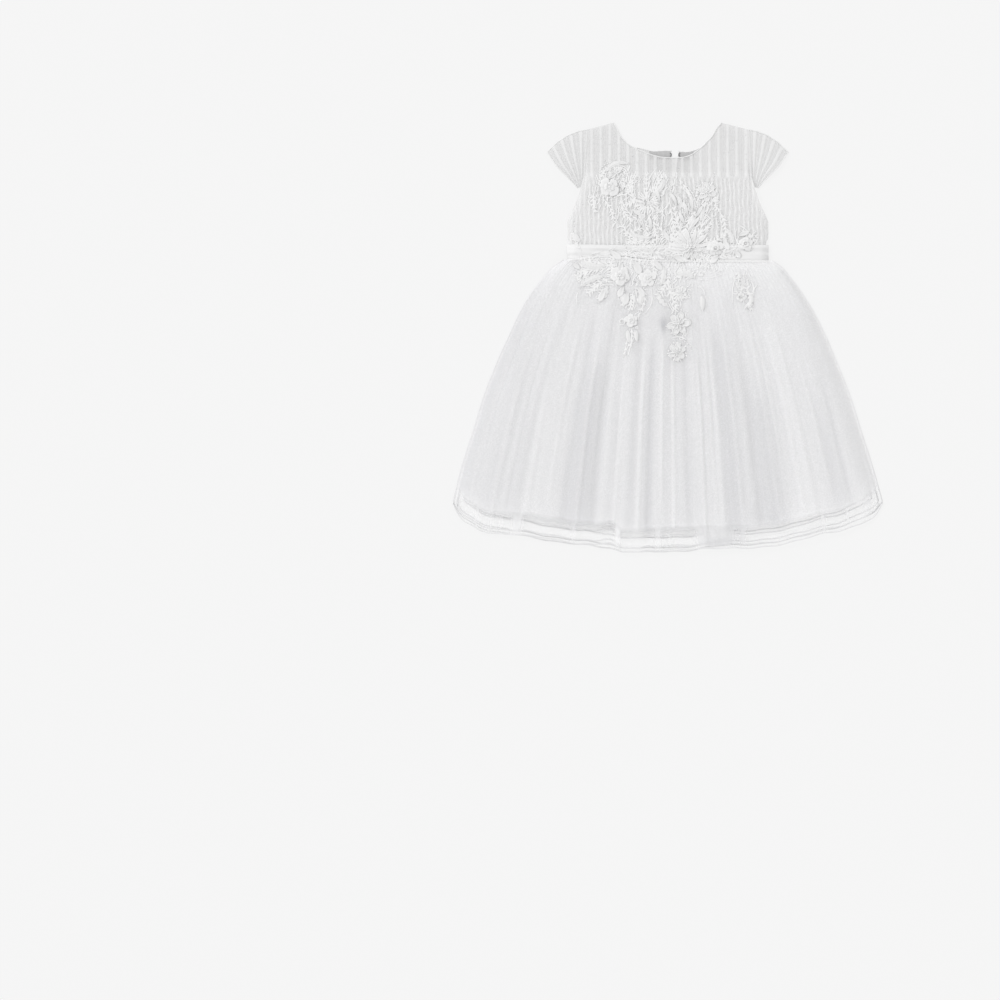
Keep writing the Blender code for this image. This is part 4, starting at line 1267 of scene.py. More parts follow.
@dataclass
class SkirtPanel:
    """One layer of the skirt, front or back, with its rolled edge."""
    shape: SkirtShape
    layer: Layer
    is_front: bool
    finish: Cloth
    seed: int
    fine_height: float = 0.7
    pleat_height: float = 0.8
    hem_radius: float = 0.8
    side_radius: float = 0.6
    fullness: float = 1.08
    ridge_height: float = 1.25
    # Share of the shade colour that each kind of painted shade takes
    relief_tone: float = 0.28
    fold_tone: float = 0.41
    folded_tone: float = 0.45
    side_tone: float = 0.36
    hollow_tone: float = 0.9

    @property
    def node(self) -> str:
        """The solid that this panel stands for."""
        return self.layer.name + ("_front" if self.is_front else "_back")

    @property
    def is_lining(self) -> bool:
        """Whether this is the closely woven lining."""
        return self.layer.name == LINING.name

    def fine_creases(self, across: Array, down: Array) -> Array:
        """Many thin lines that fan from the waist, no two alike.

        Args:
            across: share across, -1 to 1.
            down: share down, 0 to 1.

        Returns:
            Their height.
        """
        draw = np.random.default_rng(self.seed)
        total = np.zeros(across.shape)
        for _ in range(FINE_CREASES):
            middle = draw.uniform(-0.98, 0.98)
            width = draw.uniform(0.004, 0.018)
            height = draw.uniform(-1.0, 1.0) ** 3 * self.fine_height
            start = draw.uniform(0.0, 0.45)
            end = draw.uniform(0.6, 1.05)
            sway = draw.uniform(-0.012, 0.012)
            away = (across - middle - sway * np.sin(down * 4)) / width
            total += height * window(down, start, end, 0.18, 0.2) * bell(away)
        return total

    def main_creases(self, across: Array, down: Array) -> Array:
        """The ridges and troughs that show from a step away.

        Args:
            across: share across, -1 to 1.
            down: share down, 0 to 1.

        Returns:
            Their height.
        """
        total = np.zeros(across.shape)
        for crease in CREASES:
            away = (across * self.shape.half - crease.hem_x) / crease.half_width
            along = window(down, crease.start, crease.end + 0.12, 0.25, 0.2)
            total += self.ridge_height * crease.height * along * bell(away)
        return total

    def waist_pleats(self, across: Array, down: Array) -> Array:
        """Small gathers at the seam, which open out below it.

        Args:
            across: share across, -1 to 1.
            down: share down, 0 to 1.

        Returns:
            Their height.
        """
        drift = 0.9 * np.sin(across * 9.0) + 0.7 * np.sin(across * 23.0 + 1.0)
        wave = np.abs(np.sin(across * WAIST_PLEATS * math.pi / 2 + drift))
        return self.pleat_height * wave * np.exp(-down * 9.0)

    def relief(self, across: Array, down: Array) -> Array:
        """Creases and gathers of the panel, without the form that it lies on.

        Args:
            across: share across, -1 to 1.
            down: share down, 0 to 1.

        Returns:
            Their height.
        """
        relief = self.fine_creases(across, down)
        if not self.is_front:
            return relief * 0.5
        edge = np.minimum(1 - np.abs(across), 1 - down) * self.shape.half
        if self.layer is OUTER:
            relief = relief + self.main_creases(across, down)
        relief = relief * smooth_step(edge / 14.0)
        return relief + self.waist_pleats(across, down) * smooth_step((1 - np.abs(across)) * 12)

    def heights(self, x: Array, y: Array, relief: Array, under: Ground) -> Array:
        """Heights of the panel over its grid.

        Args:
            x: places across.
            y: places up the dress.
            relief: the creases.
            under: what it lies on.

        Returns:
            The heights.
        """
        base = node_ground(self.node).under(x, y) + WALL / 2
        if not self.is_front:
            return base + np.clip(relief, -0.12, 0.2)
        base = softened(base, 3.0, 4.0)
        return softened(above(base + relief, under, x, y), 0.7, 0.7)

    def tones(self, across: Array, down: Array, relief: Array) -> Array:
        """Painted shade at each place, from 0 to 1: hollows, broad fold shades, the sides and the deep
        fold.

        Args:
            across: share across, -1 to 1.
            down: share down, 0 to 1.
            relief: the creases.

        Returns:
            The tones.
        """
        half = self.shape.half
        total = SHADE_BASE - self.relief_tone * np.clip(relief, -1.0, 1.0)
        for shade in SHADES:
            away = (across * half - shade.hem_x) / shade.half_width
            along = window(down, shade.start, shade.end + 0.12, 0.22, 0.14)
            total = total + shade.tone * along * bell(away)
        sheer = smooth_step((VEIL_END - 4 - self.above_hem(down)) / 8.0)
        share = self.fold_tone * smooth_step(total) * (1 - sheer)
        share = share + self.folded_tone * sheer * bell((across * half - FOLDED.x) / FOLDED.y, 4)
        # Painted shade down the left side, and painted light up the right side
        side = (1 - np.abs(across)) * half
        lit = share + self.side_tone * np.exp(-side / 16.0)
        share = np.where(across < 0, lit, share * (1 - bell(side / 24.0)))
        below = (down - HOLLOW.y) / 0.028
        spread = 4.2 - 1.6 * np.clip(below, -1, 1)
        beside = (across * half * (0.55 + 0.45 * down) - HOLLOW.x) / spread
        return share + self.hollow_tone * bell(beside) * bell(below)

    def above_hem(self, down: Array) -> Array:
        """Height over the outer net's lowest edge."""
        return (1 - down) * (self.shape.waist - self.shape.hem_low) + self.layer.hem_lift

    def turned(self, across: Array, down: Array) -> Array:
        """How much closer the net is over the lining, at the seams and where it is turned over.

        Args:
            across: share across, -1 to 1.
            down: share down, 0 to 1.

        Returns:
            The added cover, 0 to 0.8.
        """
        from_hem = self.above_hem(down)
        total = VEIL_COVER * smooth_step((from_hem - VEIL_END) / 10.0)
        for turn in TURNS:
            away = (across * (self.shape.half - self.layer.hem_inset) - turn.hem_x) / turn.half_width
            total = total + turn.cover * bell(away, 4) * smooth_step((VEIL_END + 8 - from_hem) / 8.0)
        side = (1 - np.abs(across)) * self.shape.half
        return np.clip(total + 0.3 * np.exp(-down * 7.0) + 0.25 * np.exp(-side / 1.6), 0.0, 0.8)

    def edge_cord(self, x: Array, y: Array, z: Array) -> Piece:
        """The rolled edge along the hem and up the two sides.

        Args:
            x: places across.
            y: places up the dress.
            z: the panel's heights.

        Returns:
            The edge.
        """
        pile = Pile()
        for line_x, line_y, line_z, radius in (
            (x[-1], y[-1], z[-1], self.hem_radius), (x[:, 0], y[:, 0], z[:, 0], self.side_radius),
            (x[:, -1], y[:, -1], z[:, -1], self.side_radius),
        ):
            path = np.stack([line_x, line_y, np.maximum(line_z, radius)], axis=-1)
            pile.tube(path, radius)
        return settle(pile.made(self.node + "_edge", ROLLED), "tulle")

    def build(self, under: Ground) -> Piece:
        """Make the panel and its edge.

        Args:
            under: what it lies on.

        Returns:
            The panel.
        """
        x, y, across, down = self.shape.plan(self.layer, self.is_front)
        relief = self.relief(across, down)
        z = self.heights(x, y, relief, under)
        pile = Pile()
        pile.grid(x, y, z, dense=self.turned(across, down), depth=self.tones(across, down, relief))
        slot = "lining" if self.is_lining else "tulle"
        cloth = settle(pile.made(self.node + "_cloth", self.finish), slot, self.node)
        edges = [] if self.is_lining else [self.edge_cord(x, y, z)]
        width = float(x[-1].max() - x[-1].min()) * self.fullness * MM
        length = float(y[0, 0] - y[-1].min()) * MM
        top = float(x[0].max() - x[0].min()) * self.fullness * MM
        (width + top) / 2 * length
        return cloth


# The bodice

def rib_places() -> Array:
    """Places of the stitched ribs across the bodice."""
    return RIB_FIRST_X + RIB_PITCH * np.arange(RIB_COUNT)


@dataclass
class BodicePanel:
    """One piece of the bodice: its solid, its outline and whether it is striped."""
    node: str
    finish: Cloth
    slot: str
    neck: tuple[Point, ...]
    side: int = 0
    rows: int = 120
    least_step: float = 0.3
    rib_height: float = 0.35
    rib_half: float = 2.3
    fine_height: float = 0.4
    fine_half: float = 1.3
    thread_x: float = 4.6
    thread_half: float = 0.5
    thread_height: float = 0.35
    # Painted shade between the ribs, over the yoke, and most at the yoke's middle
    gap_tone: float = 0.1
    yoke_tone: float = 0.42
    middle_tone: float = 0.5
    # The cut piece's extra size and its share of the box round it, which build multiplies out and does not
    # keep
    ease: float = 1.01
    striped_share: float = 0.78
    lining_share: float = 0.86

    @property
    def striped(self) -> bool:
        """Whether the panel shows ribs."""
        return self.finish.weave is Weave.STRIPE

    def half_at(self, y: Array) -> Array:
        """Half width of the bodice at a height."""
        return BODICE_HALF - SASH_NIP * smooth_step((SASH_TOP_Y + 10 - y) / 9.0)

    def top(self, x: Array) -> Array:
        """Top edge at each place across.

        Args:
            x: places across.

        Returns:
            Y of the edge.
        """
        out = np.abs(x)
        if not self.striped:
            return np.interp(out, [p.x for p in LINING_ARM], [p.y for p in LINING_ARM])
        line = outline_at(self.neck, x)
        shoulder = np.interp(out, [NECK_PEAK_X, SHOULDER_X], [self.neck[-1].y, ARMHOLE[0].y])
        armhole = np.interp(out, [p.x for p in ARMHOLE], [p.y for p in ARMHOLE])
        return np.where(out <= NECK_PEAK_X, line, np.where(out <= SHOULDER_X, shoulder, armhole))

    def places(self) -> Array:
        """Columns across, on the ribs and on the outline's corners.

        Returns:
            Rising places across.
        """
        half = BODICE_HALF if self.striped else LINING_ARM[-1].x
        step = RIB_PITCH / RIB_STEPS if self.striped else 3.0
        low = {-1: -half, 0: -half, 1: SLIT_X + 0.2}[self.side]
        high = {-1: SLIT_X - 0.2, 0: half, 1: half}[self.side]
        count = int((high - low) / step)
        first = RIB_FIRST_X - RIB_PITCH
        found = {low, high}
        found |= {first + step * index for index in range(count * 3) if low < first + step * index < high}
        for corner in (NECK_PEAK_X, SHOULDER_X):
            found |= {place for place in (-corner, corner) if low < place < high}
        kept = [low]
        for place in sorted(found)[1:-1]:
            if min(place - kept[-1], high - place) > self.least_step:
                kept.append(place)
        return np.array(kept + [high])

    def plan(self) -> tuple[Array, Array]:
        """Places of the panel's grid.

        Returns:
            x and y.
        """
        across = self.places()
        share = np.linspace(0, 1, self.rows + 1)[:, None]
        y = WAIST_Y + 0.2 + (self.top(across)[None, :] - WAIST_Y - 0.2) * share
        x = across[None, :] * self.half_at(y) / BODICE_HALF
        if self.side:
            opened = np.clip((y - SLIT_END_Y) / (SLIT_TOP_Y - SLIT_END_Y), 0, 1)
            edge = self.side * (0.15 + (SLIT_HALF_TOP - 0.15) * opened)
            outer = self.side * BODICE_HALF
            near = np.abs(across - outer) / abs(outer - SLIT_X)
            x = x + (edge - self.side * 0.2) * near[None, :] ** 6
        return x, y

    def stripe(self, x: Array, y: Array) -> tuple[Array, Array]:
        """Height and closeness of the ribs: wide ones over the yoke, twice as many below it.

        Args:
            x: places across.
            y: places up the dress.

        Returns:
            The height in millimetres, and the closeness from 0 to 1.
        """
        along = (x - RIB_FIRST_X) / RIB_PITCH
        away = (along - np.round(along)) * RIB_PITCH
        thread = bell((np.abs(away) - self.thread_x) / self.thread_half)
        wide = bell(away / self.rib_half) + self.thread_height * thread
        sway = 0.7 * np.sin(y / 9.0 + np.round(along) * 1.7) + 0.4 * np.sin(y / 3.7 + x / 21.0)
        half = ((x + sway - RIB_FIRST_X) / (RIB_PITCH / 2)) % 1.0 - 0.5
        uneven = 0.65 + 0.35 * np.sin(x * 1.3 + np.sin(y / 7.0)) * np.sin(y / 2.6 + x)
        narrow = bell(half * RIB_PITCH / 2 / self.fine_half) * uneven
        yoke = smooth_step((y - YOKE_Y + 5.0) / 8.0)
        rib = wide * yoke + narrow * (1 - yoke)
        nub = 0.8 + 0.2 * np.sin(y * 2.1 + np.round(along) * 2.0)
        above_sash = smooth_step((y - SASH_TOP_Y) / 4.0)
        height = (self.rib_height * yoke + self.fine_height * (1 - yoke)) * rib * nub * above_sash
        return height, np.clip(rib, 0, 1)

    def build(self, under: Optional[Ground]) -> Piece:
        """Make the panel.

        Args:
            under: what it lies on, if its solid alone doesn't say.

        Returns:
            The panel.
        """
        x, y = self.plan()
        z = softened(node_ground(self.node).under(x, y) + WALL / 2, 1.5, 3.0)
        dense = np.zeros(x.shape)
        if self.striped:
            height, dense = self.stripe(x, y)
            z = z + height
        if under is not None:
            z = above(z, under, x, y)
        pile = Pile()
        # Painted shade: the striped cloth is darker between its ribs and over the yoke, the lining in its
        # hollows
        yoke = smooth_step((y - YOKE_Y) / 10.0)
        yoke_tone = self.yoke_tone + self.middle_tone * bell((x - 5.0) / 30.0, 4)
        depth = self.gap_tone * (1 - dense) + yoke * yoke_tone if self.striped else hollow_shade_of(z, 2.5)
        pile.grid(x, y, z, dense=dense, depth=depth)
        cloth = settle(pile.made(self.node + "_cloth", self.finish), self.slot, self.node)
        width = float(x.max() - x.min()) * self.ease * MM
        length = float(y.max() - y.min()) * self.ease * MM
        share = self.striped_share if self.striped else self.lining_share
        width * length * share
        return cloth


@dataclass
class NeckBinding:
    """The narrow binding round the neck and down the back opening."""
    radius: float = 0.7
    slit_radius: float = 0.5
    slit_height: float = 1.2
    slit_steps: int = 30
    # The strip of painted shade inside the back of the neck: its width, middle, reach and clearance
    facing_width: float = 10.4
    facing_middle: float = 5.0
    facing_reach: float = 29.0
    facing_clear: float = 0.25

    def along(self, points: Sequence[Point], ground: Ground, steps: int = 90) -> Array:
        """A line along an edge, laid on its panel.

        Args:
            points: the edge.
            ground: its panel.
            steps: points along the line.

        Returns:
            The line.
        """
        xs = np.linspace(points[0].x, points[-1].x, steps)
        ys = outline_at(points, xs) - self.radius * 0.7
        z = filled(ground.along(xs, ys - 0.6))
        return np.stack([xs, ys, z + self.radius * 0.3], axis=-1)

    def build(self, front: Piece, backs: Sequence[Piece]) -> None:
        """Make the bindings, and the strip of painted shade inside the back of the neck.

        Args:
            front: the striped front.
            backs: the two striped back halves.
        """
        pile = Pile()
        pile.tube(self.along(NECK_FRONT, Ground(front)), self.radius)
        settle(pile.made("neck_binding_front", BINDING), "overlay")
        ground = Ground(*backs)
        pile = Pile()
        line = self.along(NECK_BACK, ground, 140)
        for kept in (line[line[:, 0] < SLIT_X - SLIT_HALF_TOP], line[line[:, 0] > SLIT_X + SLIT_HALF_TOP]):
            pile.tube(kept, self.radius)
        for side in (-1, 1):
            ys = np.linspace(SLIT_END_Y, SLIT_TOP_Y - 1.0, self.slit_steps)
            opened = (ys - SLIT_END_Y) / (SLIT_TOP_Y - SLIT_END_Y)
            xs = SLIT_X + side * (0.6 + SLIT_HALF_TOP * opened)
            zs = np.full(self.slit_steps, self.slit_height)
            pile.tube(np.stack([xs, ys, zs], axis=-1), self.slit_radius)
        settle(pile.made("neck_binding_back", BINDING), "overlay")
        self.facing(ground)

    def facing(self, ground: Ground) -> None:
        """A dark strip of painted shade inside the back of the neck, in two halves, darker further down.

        Args:
            ground: the two striped back halves.
        """
        pile = Pile()
        drop = np.linspace(0.0, self.facing_width, 8)[:, None]
        for side in (-1, 1):
            inner = SLIT_X + side * (SLIT_HALF_TOP + 0.6)
            xs = np.linspace(inner, self.facing_middle + side * self.facing_reach, 50)[None, :]
            x = xs + 0 * drop
            y = outline_at(NECK_BACK, xs) - 1.0 - drop
            z = filled(ground.top(x, y)) + self.facing_clear
            pile.grid(x, y, z, depth=0.3 + 0.5 * drop / self.facing_width + 0 * x)
        cloth = settle(pile.made("neck_facing", SHADE_STRIP), "overlay")


@dataclass
class StripeBeads:
    """The small beads sewn along the ribs of the front."""
    pitch: float = 6.2
    radius: float = 0.7
    top_y: float = 268.0
    # Share of the yoke's beads that are left out
    left_out: float = 0.5
    seed: int = 11

    def build(self, ground: Ground) -> None:
        """Make the beads, close under the yoke and sparse over it.

        Args:
            ground: the striped front.
        """
        draw = np.random.default_rng(self.seed)
        pile = Pile()
        xs, ys = [], []
        for index, rib in enumerate(rib_places()):
            for y in np.arange(SASH_TOP_Y + 5, self.top_y, self.pitch):
                if y > YOKE_Y and draw.uniform(0, 1) < self.left_out:
                    continue
                xs.append(rib + draw.uniform(-0.5, 0.5) + draw.integers(0, 2) * RIB_PITCH / 2)
                ys.append(y + (index % 2) * self.pitch / 2 + draw.uniform(-2.5, 2.5))
        for x, y, z in zip(xs, ys, ground.along(np.array(xs), np.array(ys))):
            if not np.isnan(z):
                pile.bead((x, y, z + self.radius * 0.4), self.radius * draw.uniform(0.75, 1.15))
        settle(pile.made("stripe_beads", BEAD), "applique")


@dataclass
class Sleeve:
    """A cap sleeve folded double along its top, with a fan of ribs."""
    node: str
    side: int
    columns: int = 96
    rows: int = 90
    rib_half: float = 0.042
    rib_height: float = 0.4
    thread_height: float = 0.2
    hem_radius: float = 0.6
    fold_radius: float = 0.7
    # The shade colour mixed over the whole sleeve, with more painted shade between the ribs
    tone: float = 0.38
    flat: tuple[float, float] = (0.06, 0.135)
    area: float = 0.0048

    def run(self, points: Sequence[Point], share: Array) -> tuple[Array, Array]:
        """Points along an outline, by their share of its length.

        Args:
            points: the outline.
            share: shares of its length.

        Returns:
            x and y.
        """
        xs = np.array([p.x for p in points])
        ys = np.array([p.y for p in points])
        steps = np.concatenate([[0], np.cumsum(np.hypot(np.diff(xs), np.diff(ys)))])
        return np.interp(share, steps / steps[-1], xs), np.interp(share, steps / steps[-1], ys)

    def build(self) -> None:
        """Make the sleeve, from its under side over the fold to its upper side."""
        across = np.linspace(0, 1, self.columns + 1)[None, :]
        ring = np.linspace(-1, 1, self.rows + 1)[:, None]
        down = np.abs(ring)
        from_x, from_y = self.run(SLEEVE_SEAM, down)
        to_x, to_y = self.run(SLEEVE_HEM, down)
        fold_x, fold_y = self.run(SLEEVE_FOLD, across)
        first, last = SLEEVE_FOLD[0], SLEEVE_FOLD[-1]
        fade = (1 - down) ** 2
        x = from_x + (to_x - from_x) * across + (fold_x - first.x - (last.x - first.x) * across) * fade
        y = from_y + (to_y - from_y) * across + (fold_y - first.y - (last.y - first.y) * across) * fade
        upper = smooth_step((ring + 0.03) / 0.06)
        puff = SLEEVE_LOFT * np.sin(math.pi * np.clip(down * 1.15, 0, 1)) * (0.35 + 0.65 * across)
        rib = sum(bell((across - place) / self.rib_half, 4) for place in SLEEVE_RIBS)
        fine = sum(bell((across - place - 0.11) / 0.012) for place in SLEEVE_RIBS)
        nub = 0.8 + 0.2 * np.sin(down * 70.0)
        relief = (self.rib_height * rib + self.thread_height * fine) * smooth_step(down * 8) * nub
        z = 0.5 + upper * (WALL + 0.3 + puff + relief)
        pile = Pile()
        dense = np.broadcast_to(np.clip(rib + 0.4 * fine, 0, 1), x.shape)
        points = np.stack([x * self.side, y, z], axis=-1)
        # Painted shade between the ribs, over an even share of the shade colour
        pile.grid(x * self.side, y, z, dense=dense, depth=self.tone + 0.1 * (1 - dense))
        cloth = settle(pile.made(self.node + "_cloth", STRIPED), "overlay", self.node)
        pile = Pile()
        fold = self.rows // 2
        pile.tube(points[fold:, -1], self.hem_radius)
        pile.tube(points[:fold + 1, -1], self.hem_radius)
        pile.tube(points[fold], self.fold_radius)
        settle(pile.made(self.node + "_edge", BINDING), "overlay")


@dataclass
class Sash:
    """The satin band, front and back, in soft lengthwise folds."""
    columns: int = 300
    rows: int = 36
    bow: float = 0.8
    broad_fold: float = 0.55
    fine_fold: float = 0.35
    # Painted shade on the band under the middle of the lace
    hidden_tone: float = 0.9
    front_flat: tuple[float, float] = (0.268, 0.0245)
    back_flat: tuple[float, float] = (0.264, 0.0205)

    def front(self, under: Ground) -> Piece:
        """The front of the band, laid over the bodice and the skirt's seam.

        Args:
            under: what it lies on.

        Returns:
            The front of the band.
        """
        across = np.linspace(-SASH_HALF, SASH_HALF, self.columns + 1)[None, :]
        up = np.linspace(0, 1, self.rows + 1)[:, None]
        x = across + 0 * up
        low = seam_y(across) - 0.4
        y = low + (SASH_TOP_Y + 0.4 * np.sin(across / 31.0) - low) * up
        inside = np.clip(y, SASH_LOW_Y + 3.6, SASH_TOP_Y - 0.6)
        z = softened(node_ground("sash_front").under(np.clip(x, -130.8, 130.8), inside) + 0.6, 3.0, 3.0)
        bow = self.bow * np.sin(math.pi * up) ** 0.5
        first = self.broad_fold * np.sin(up * 9.0 + np.sin(across / 26.0) * 1.4 + 0.6)
        second = self.fine_fold * np.sin(up * 17.0 + across / 19.0)
        z = above(z, under, x, y, 0.3) + bow + (first + second) * np.sin(math.pi * up) ** 0.7
        inward = smooth_step(np.minimum(up, 1 - up) / 0.14)
        edge = under.top(x, y)
        edge = np.where(np.isnan(edge), z, edge + 0.35)
        z = softened(z * inward + edge * (1 - inward), 0.7, 2.0)
        pile = Pile()
        # Painted shade in the band's hollows and under the middle of the lace
        lace_shade = self.hidden_tone * bell((x - 10.0) / 60.0, 4) * (0.8 + 0.2 * np.sin(x / 2.3 + y / 1.9))
        pile.grid(x, y, z, depth=hollow_shade_of(z, 3.0) + lace_shade)
        cloth = settle(pile.made("sash_front_cloth", SATIN), "sash", "sash_front")
        return cloth

    def back(self) -> None:
        """The back of the band, flat on the surface."""
        across = np.linspace(-SASH_HALF, SASH_HALF, 120)
        x, y = np.meshgrid(across, np.linspace(SASH_LOW_Y + 3.3, SASH_TOP_Y, 16))
        z = 0.5 + 0.12 * np.sin(y / 2.6 + np.sin(x / 30.0))
        pile = Pile()
        pile.grid(x, y, z, depth=np.zeros(x.shape))
        cloth = settle(pile.made("sash_back_cloth", SATIN), "sash", "sash_back")


# The raised lace

def tucked(ground: Ground, x: Array, y: Array, reach: float = 1.5) -> Array:
    """The surface under a sewn piece, smoothed over its finer ribs.

    Args:
        ground: what lies under.
        x: places across.
        y: places up the dress.
        reach: how far it is smoothed, in grid steps.

    Returns:
        The heights.
    """
    return softened(filled(ground.top(x, y)), reach, reach)


def run_of(start: Point, end: Point) -> tuple[Array, Array]:
    """The way from one point to another, and the step of 1 to its left."""
    run = np.array([end.x - start.x, end.y - start.y])
    return run, np.array([-run[1], run[0]]) / np.hypot(*run)


def bowed(start: Point, end: Point, bend: float, share: Array) -> tuple[Array, Array]:
    """Places along a line that bows to one side.

    Args:
        start: its first end.
        end: its last end.
        bend: how far its middle lies to the left of the straight line.
        share: shares of the way.

    Returns:
        x and y.
    """
    run, aside = run_of(start, end)
    bow = bend * np.sin(math.pi * share)
    return start.x + run[0] * share + aside[0] * bow, start.y + run[1] * share + aside[1] * bow


def outward(middle: Point, reach: float, turn: float) -> Point:
    """The point at a reach and a direction in radians from a middle."""
    return Point(middle.x + reach * math.cos(turn), middle.y + reach * math.sin(turn))


@dataclass
class PetalShell:
    """One petal: a domed shell with a corded rim, or a loop of cord round a sunk one."""
    pile: Pile
    ground: Ground
    rows: int = 13
    columns: int = 15
    clear: float = 0.3
    rim_height: float = 0.45
    groove_depth: float = 0.4
    tuck: float = 0.8
    cord_radius: float = 0.7
    cord_flat: float = 0.6

    def add(self, root: Point, tip: Point, half: float, lift: float, looped: bool = False) -> None:
        """Add a petal to the pile.

        Args:
            root: where it is sewn down.
            tip: its outer end.
            half: its half width.
            lift: its height over the surface.
            looped: whether it is a loop of cord.
        """
        u = np.linspace(0.0, 1.0, self.rows)[:, None]
        v = np.linspace(-1.0, 1.0, self.columns)[None, :]
        run, aside = run_of(root, tip)
        tip_round = np.minimum(1, (1.02 - u) * 6) ** 0.5
        width = half * (0.34 + 0.66 * np.sin(math.pi * (u * 0.94) ** 1.2)) * tip_round
        along = u - 0.10 * (v ** 2) * u
        x = root.x + run[0] * along + aside[0] * width * v
        y = root.y + run[1] * along + aside[1] * width * v
        out = np.maximum(np.abs(v), smooth_step((u - 0.55) / 0.45))
        rim = bell((out - 0.78) / 0.16)
        groove = bell(v / 0.22) * (1 - u)
        body = np.sin(math.pi * (0.12 + 0.8 * u)) * (1 - 0.3 * v * v)
        if looped:
            body = body * 0.4
        floor = tucked(self.ground, x, y) + self.clear
        z = floor + lift * body + self.rim_height * rim - self.groove_depth * groove
        z[:, (0, -1)] -= self.tuck
        z[-1] -= self.tuck
        # Painted shade: darker towards the root, in the groove and inside the rim, more in a looped petal
        hollow = 0.9 * (1 - u) ** 1.5 + 0.5 * groove + (0.45 if looped else 0.15) * (1 - rim)
        self.pile.grid(x, y, z, depth=np.clip(hollow, 0, 1))
        if looped:
            self.loop(root, tip, half, lift)
            inner = Point((root.x + 2 * tip.x) / 3, (root.y + 2 * tip.y) / 3)
            self.loop(root, inner, half * 0.45, lift * 0.7)

    def loop(self, root: Point, tip: Point, half: float, lift: float) -> None:
        """Add a closed loop of cord along a petal's rim.

        Args:
            root: where it is sewn down.
            tip: its outer end.
            half: its half width.
            lift: its height over the surface.
        """
        turn = np.linspace(0, 2 * math.pi, 19)
        share = (1 - np.cos(turn)) / 2
        run, aside = run_of(root, tip)
        out = half * 0.92 * np.sin(turn) * (0.45 + 0.55 * share)
        xs = root.x + run[0] * share + aside[0] * out
        ys = root.y + run[1] * share + aside[1] * out
        z = tucked(self.ground, xs[None, :], ys[None, :])[0]
        z = z + 0.4 + lift * 0.55 * np.sin(math.pi * np.clip(share * 0.9, 0, 1))
        self.pile.tube(np.stack([xs, ys, z], axis=-1), self.cord_radius, 6, self.cord_flat)


@dataclass
class LaceFlower:
    """A flower of one or two rings of uneven petals round a beaded heart."""
    flower: Flower
    seed: int
    # The inner ring's reach and turn, and both rings' lift, as shares of the flower's
    inner_reach: float = 0.55
    inner_turn: float = 0.6
    inner_lift: float = 0.7
    outer_lift: float = 0.4
    heart_beads: int = 6

    def build(self, ground: Ground, beads: Pile) -> Piece:
        """Make the flower and add its beads to the others.

        Args:
            ground: what it lies on.
            beads: the pile of beads.

        Returns:
            The flower.
        """
        low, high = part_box(self.flower.node)
        middle = Point((low.x + high.x) / 2 / MM, (low.y + high.y) / 2 / MM)
        radius = (high.x - low.x + high.y - low.y) / 4 / MM
        floor = float(tucked(ground, np.full((2, 2), middle.x), np.full((2, 2), middle.y))[0, 0])
        lift = max(high.z / MM - floor - 2.2, 1.0)
        turn = math.radians(self.flower.turn)
        small = self.flower.kind is Bloom.BLOSSOM
        pile = Pile()
        self.ring(PetalShell(pile, ground), middle, radius, lift * self.outer_lift, turn)
        heart = radius * (0.2 if small else 0.11)
        if not small:
            self.ring(PetalShell(pile, ground), middle, radius * self.inner_reach,
                      lift * self.inner_lift, turn + self.inner_turn)
            pile.bead((middle.x, middle.y, floor + lift * 0.3), radius * 0.24, 0.5)
            for step in range(self.heart_beads):
                spot = outward(middle, 1.9 * heart, turn + step * 2 * math.pi / self.heart_beads)
                beads.bead((spot.x, spot.y, floor + lift * 0.55), heart * 0.7)
        beads.bead((middle.x, middle.y, floor + lift * 0.6), heart)
        return settle(pile.made(self.flower.node + "_lace", LACE), "applique", self.flower.node)

    def ring(self, shell: PetalShell, middle: Point, radius: float, lift: float, turn: float) -> None:
        """Add one ring of petals, no two alike.

        Args:
            shell: makes the petals.
            middle: the flower's middle.
            radius: reach of the petals.
            lift: their height.
            turn: the first petal's direction, in radians.
        """
        draw = np.random.default_rng(self.seed)
        count = self.flower.petals
        for step in range(count):
            way = turn + 2 * math.pi * step / count + draw.uniform(-0.12, 0.12)
            reach = radius * draw.uniform(0.88, 1.08)
            half = reach * math.sin(math.pi / count) * draw.uniform(0.66, 0.8)
            shell.add(outward(middle, 0.1 * radius, way), outward(middle, reach, way), half,
                      lift * draw.uniform(0.8, 1.15), self.flower.kind is Bloom.LOOPS)


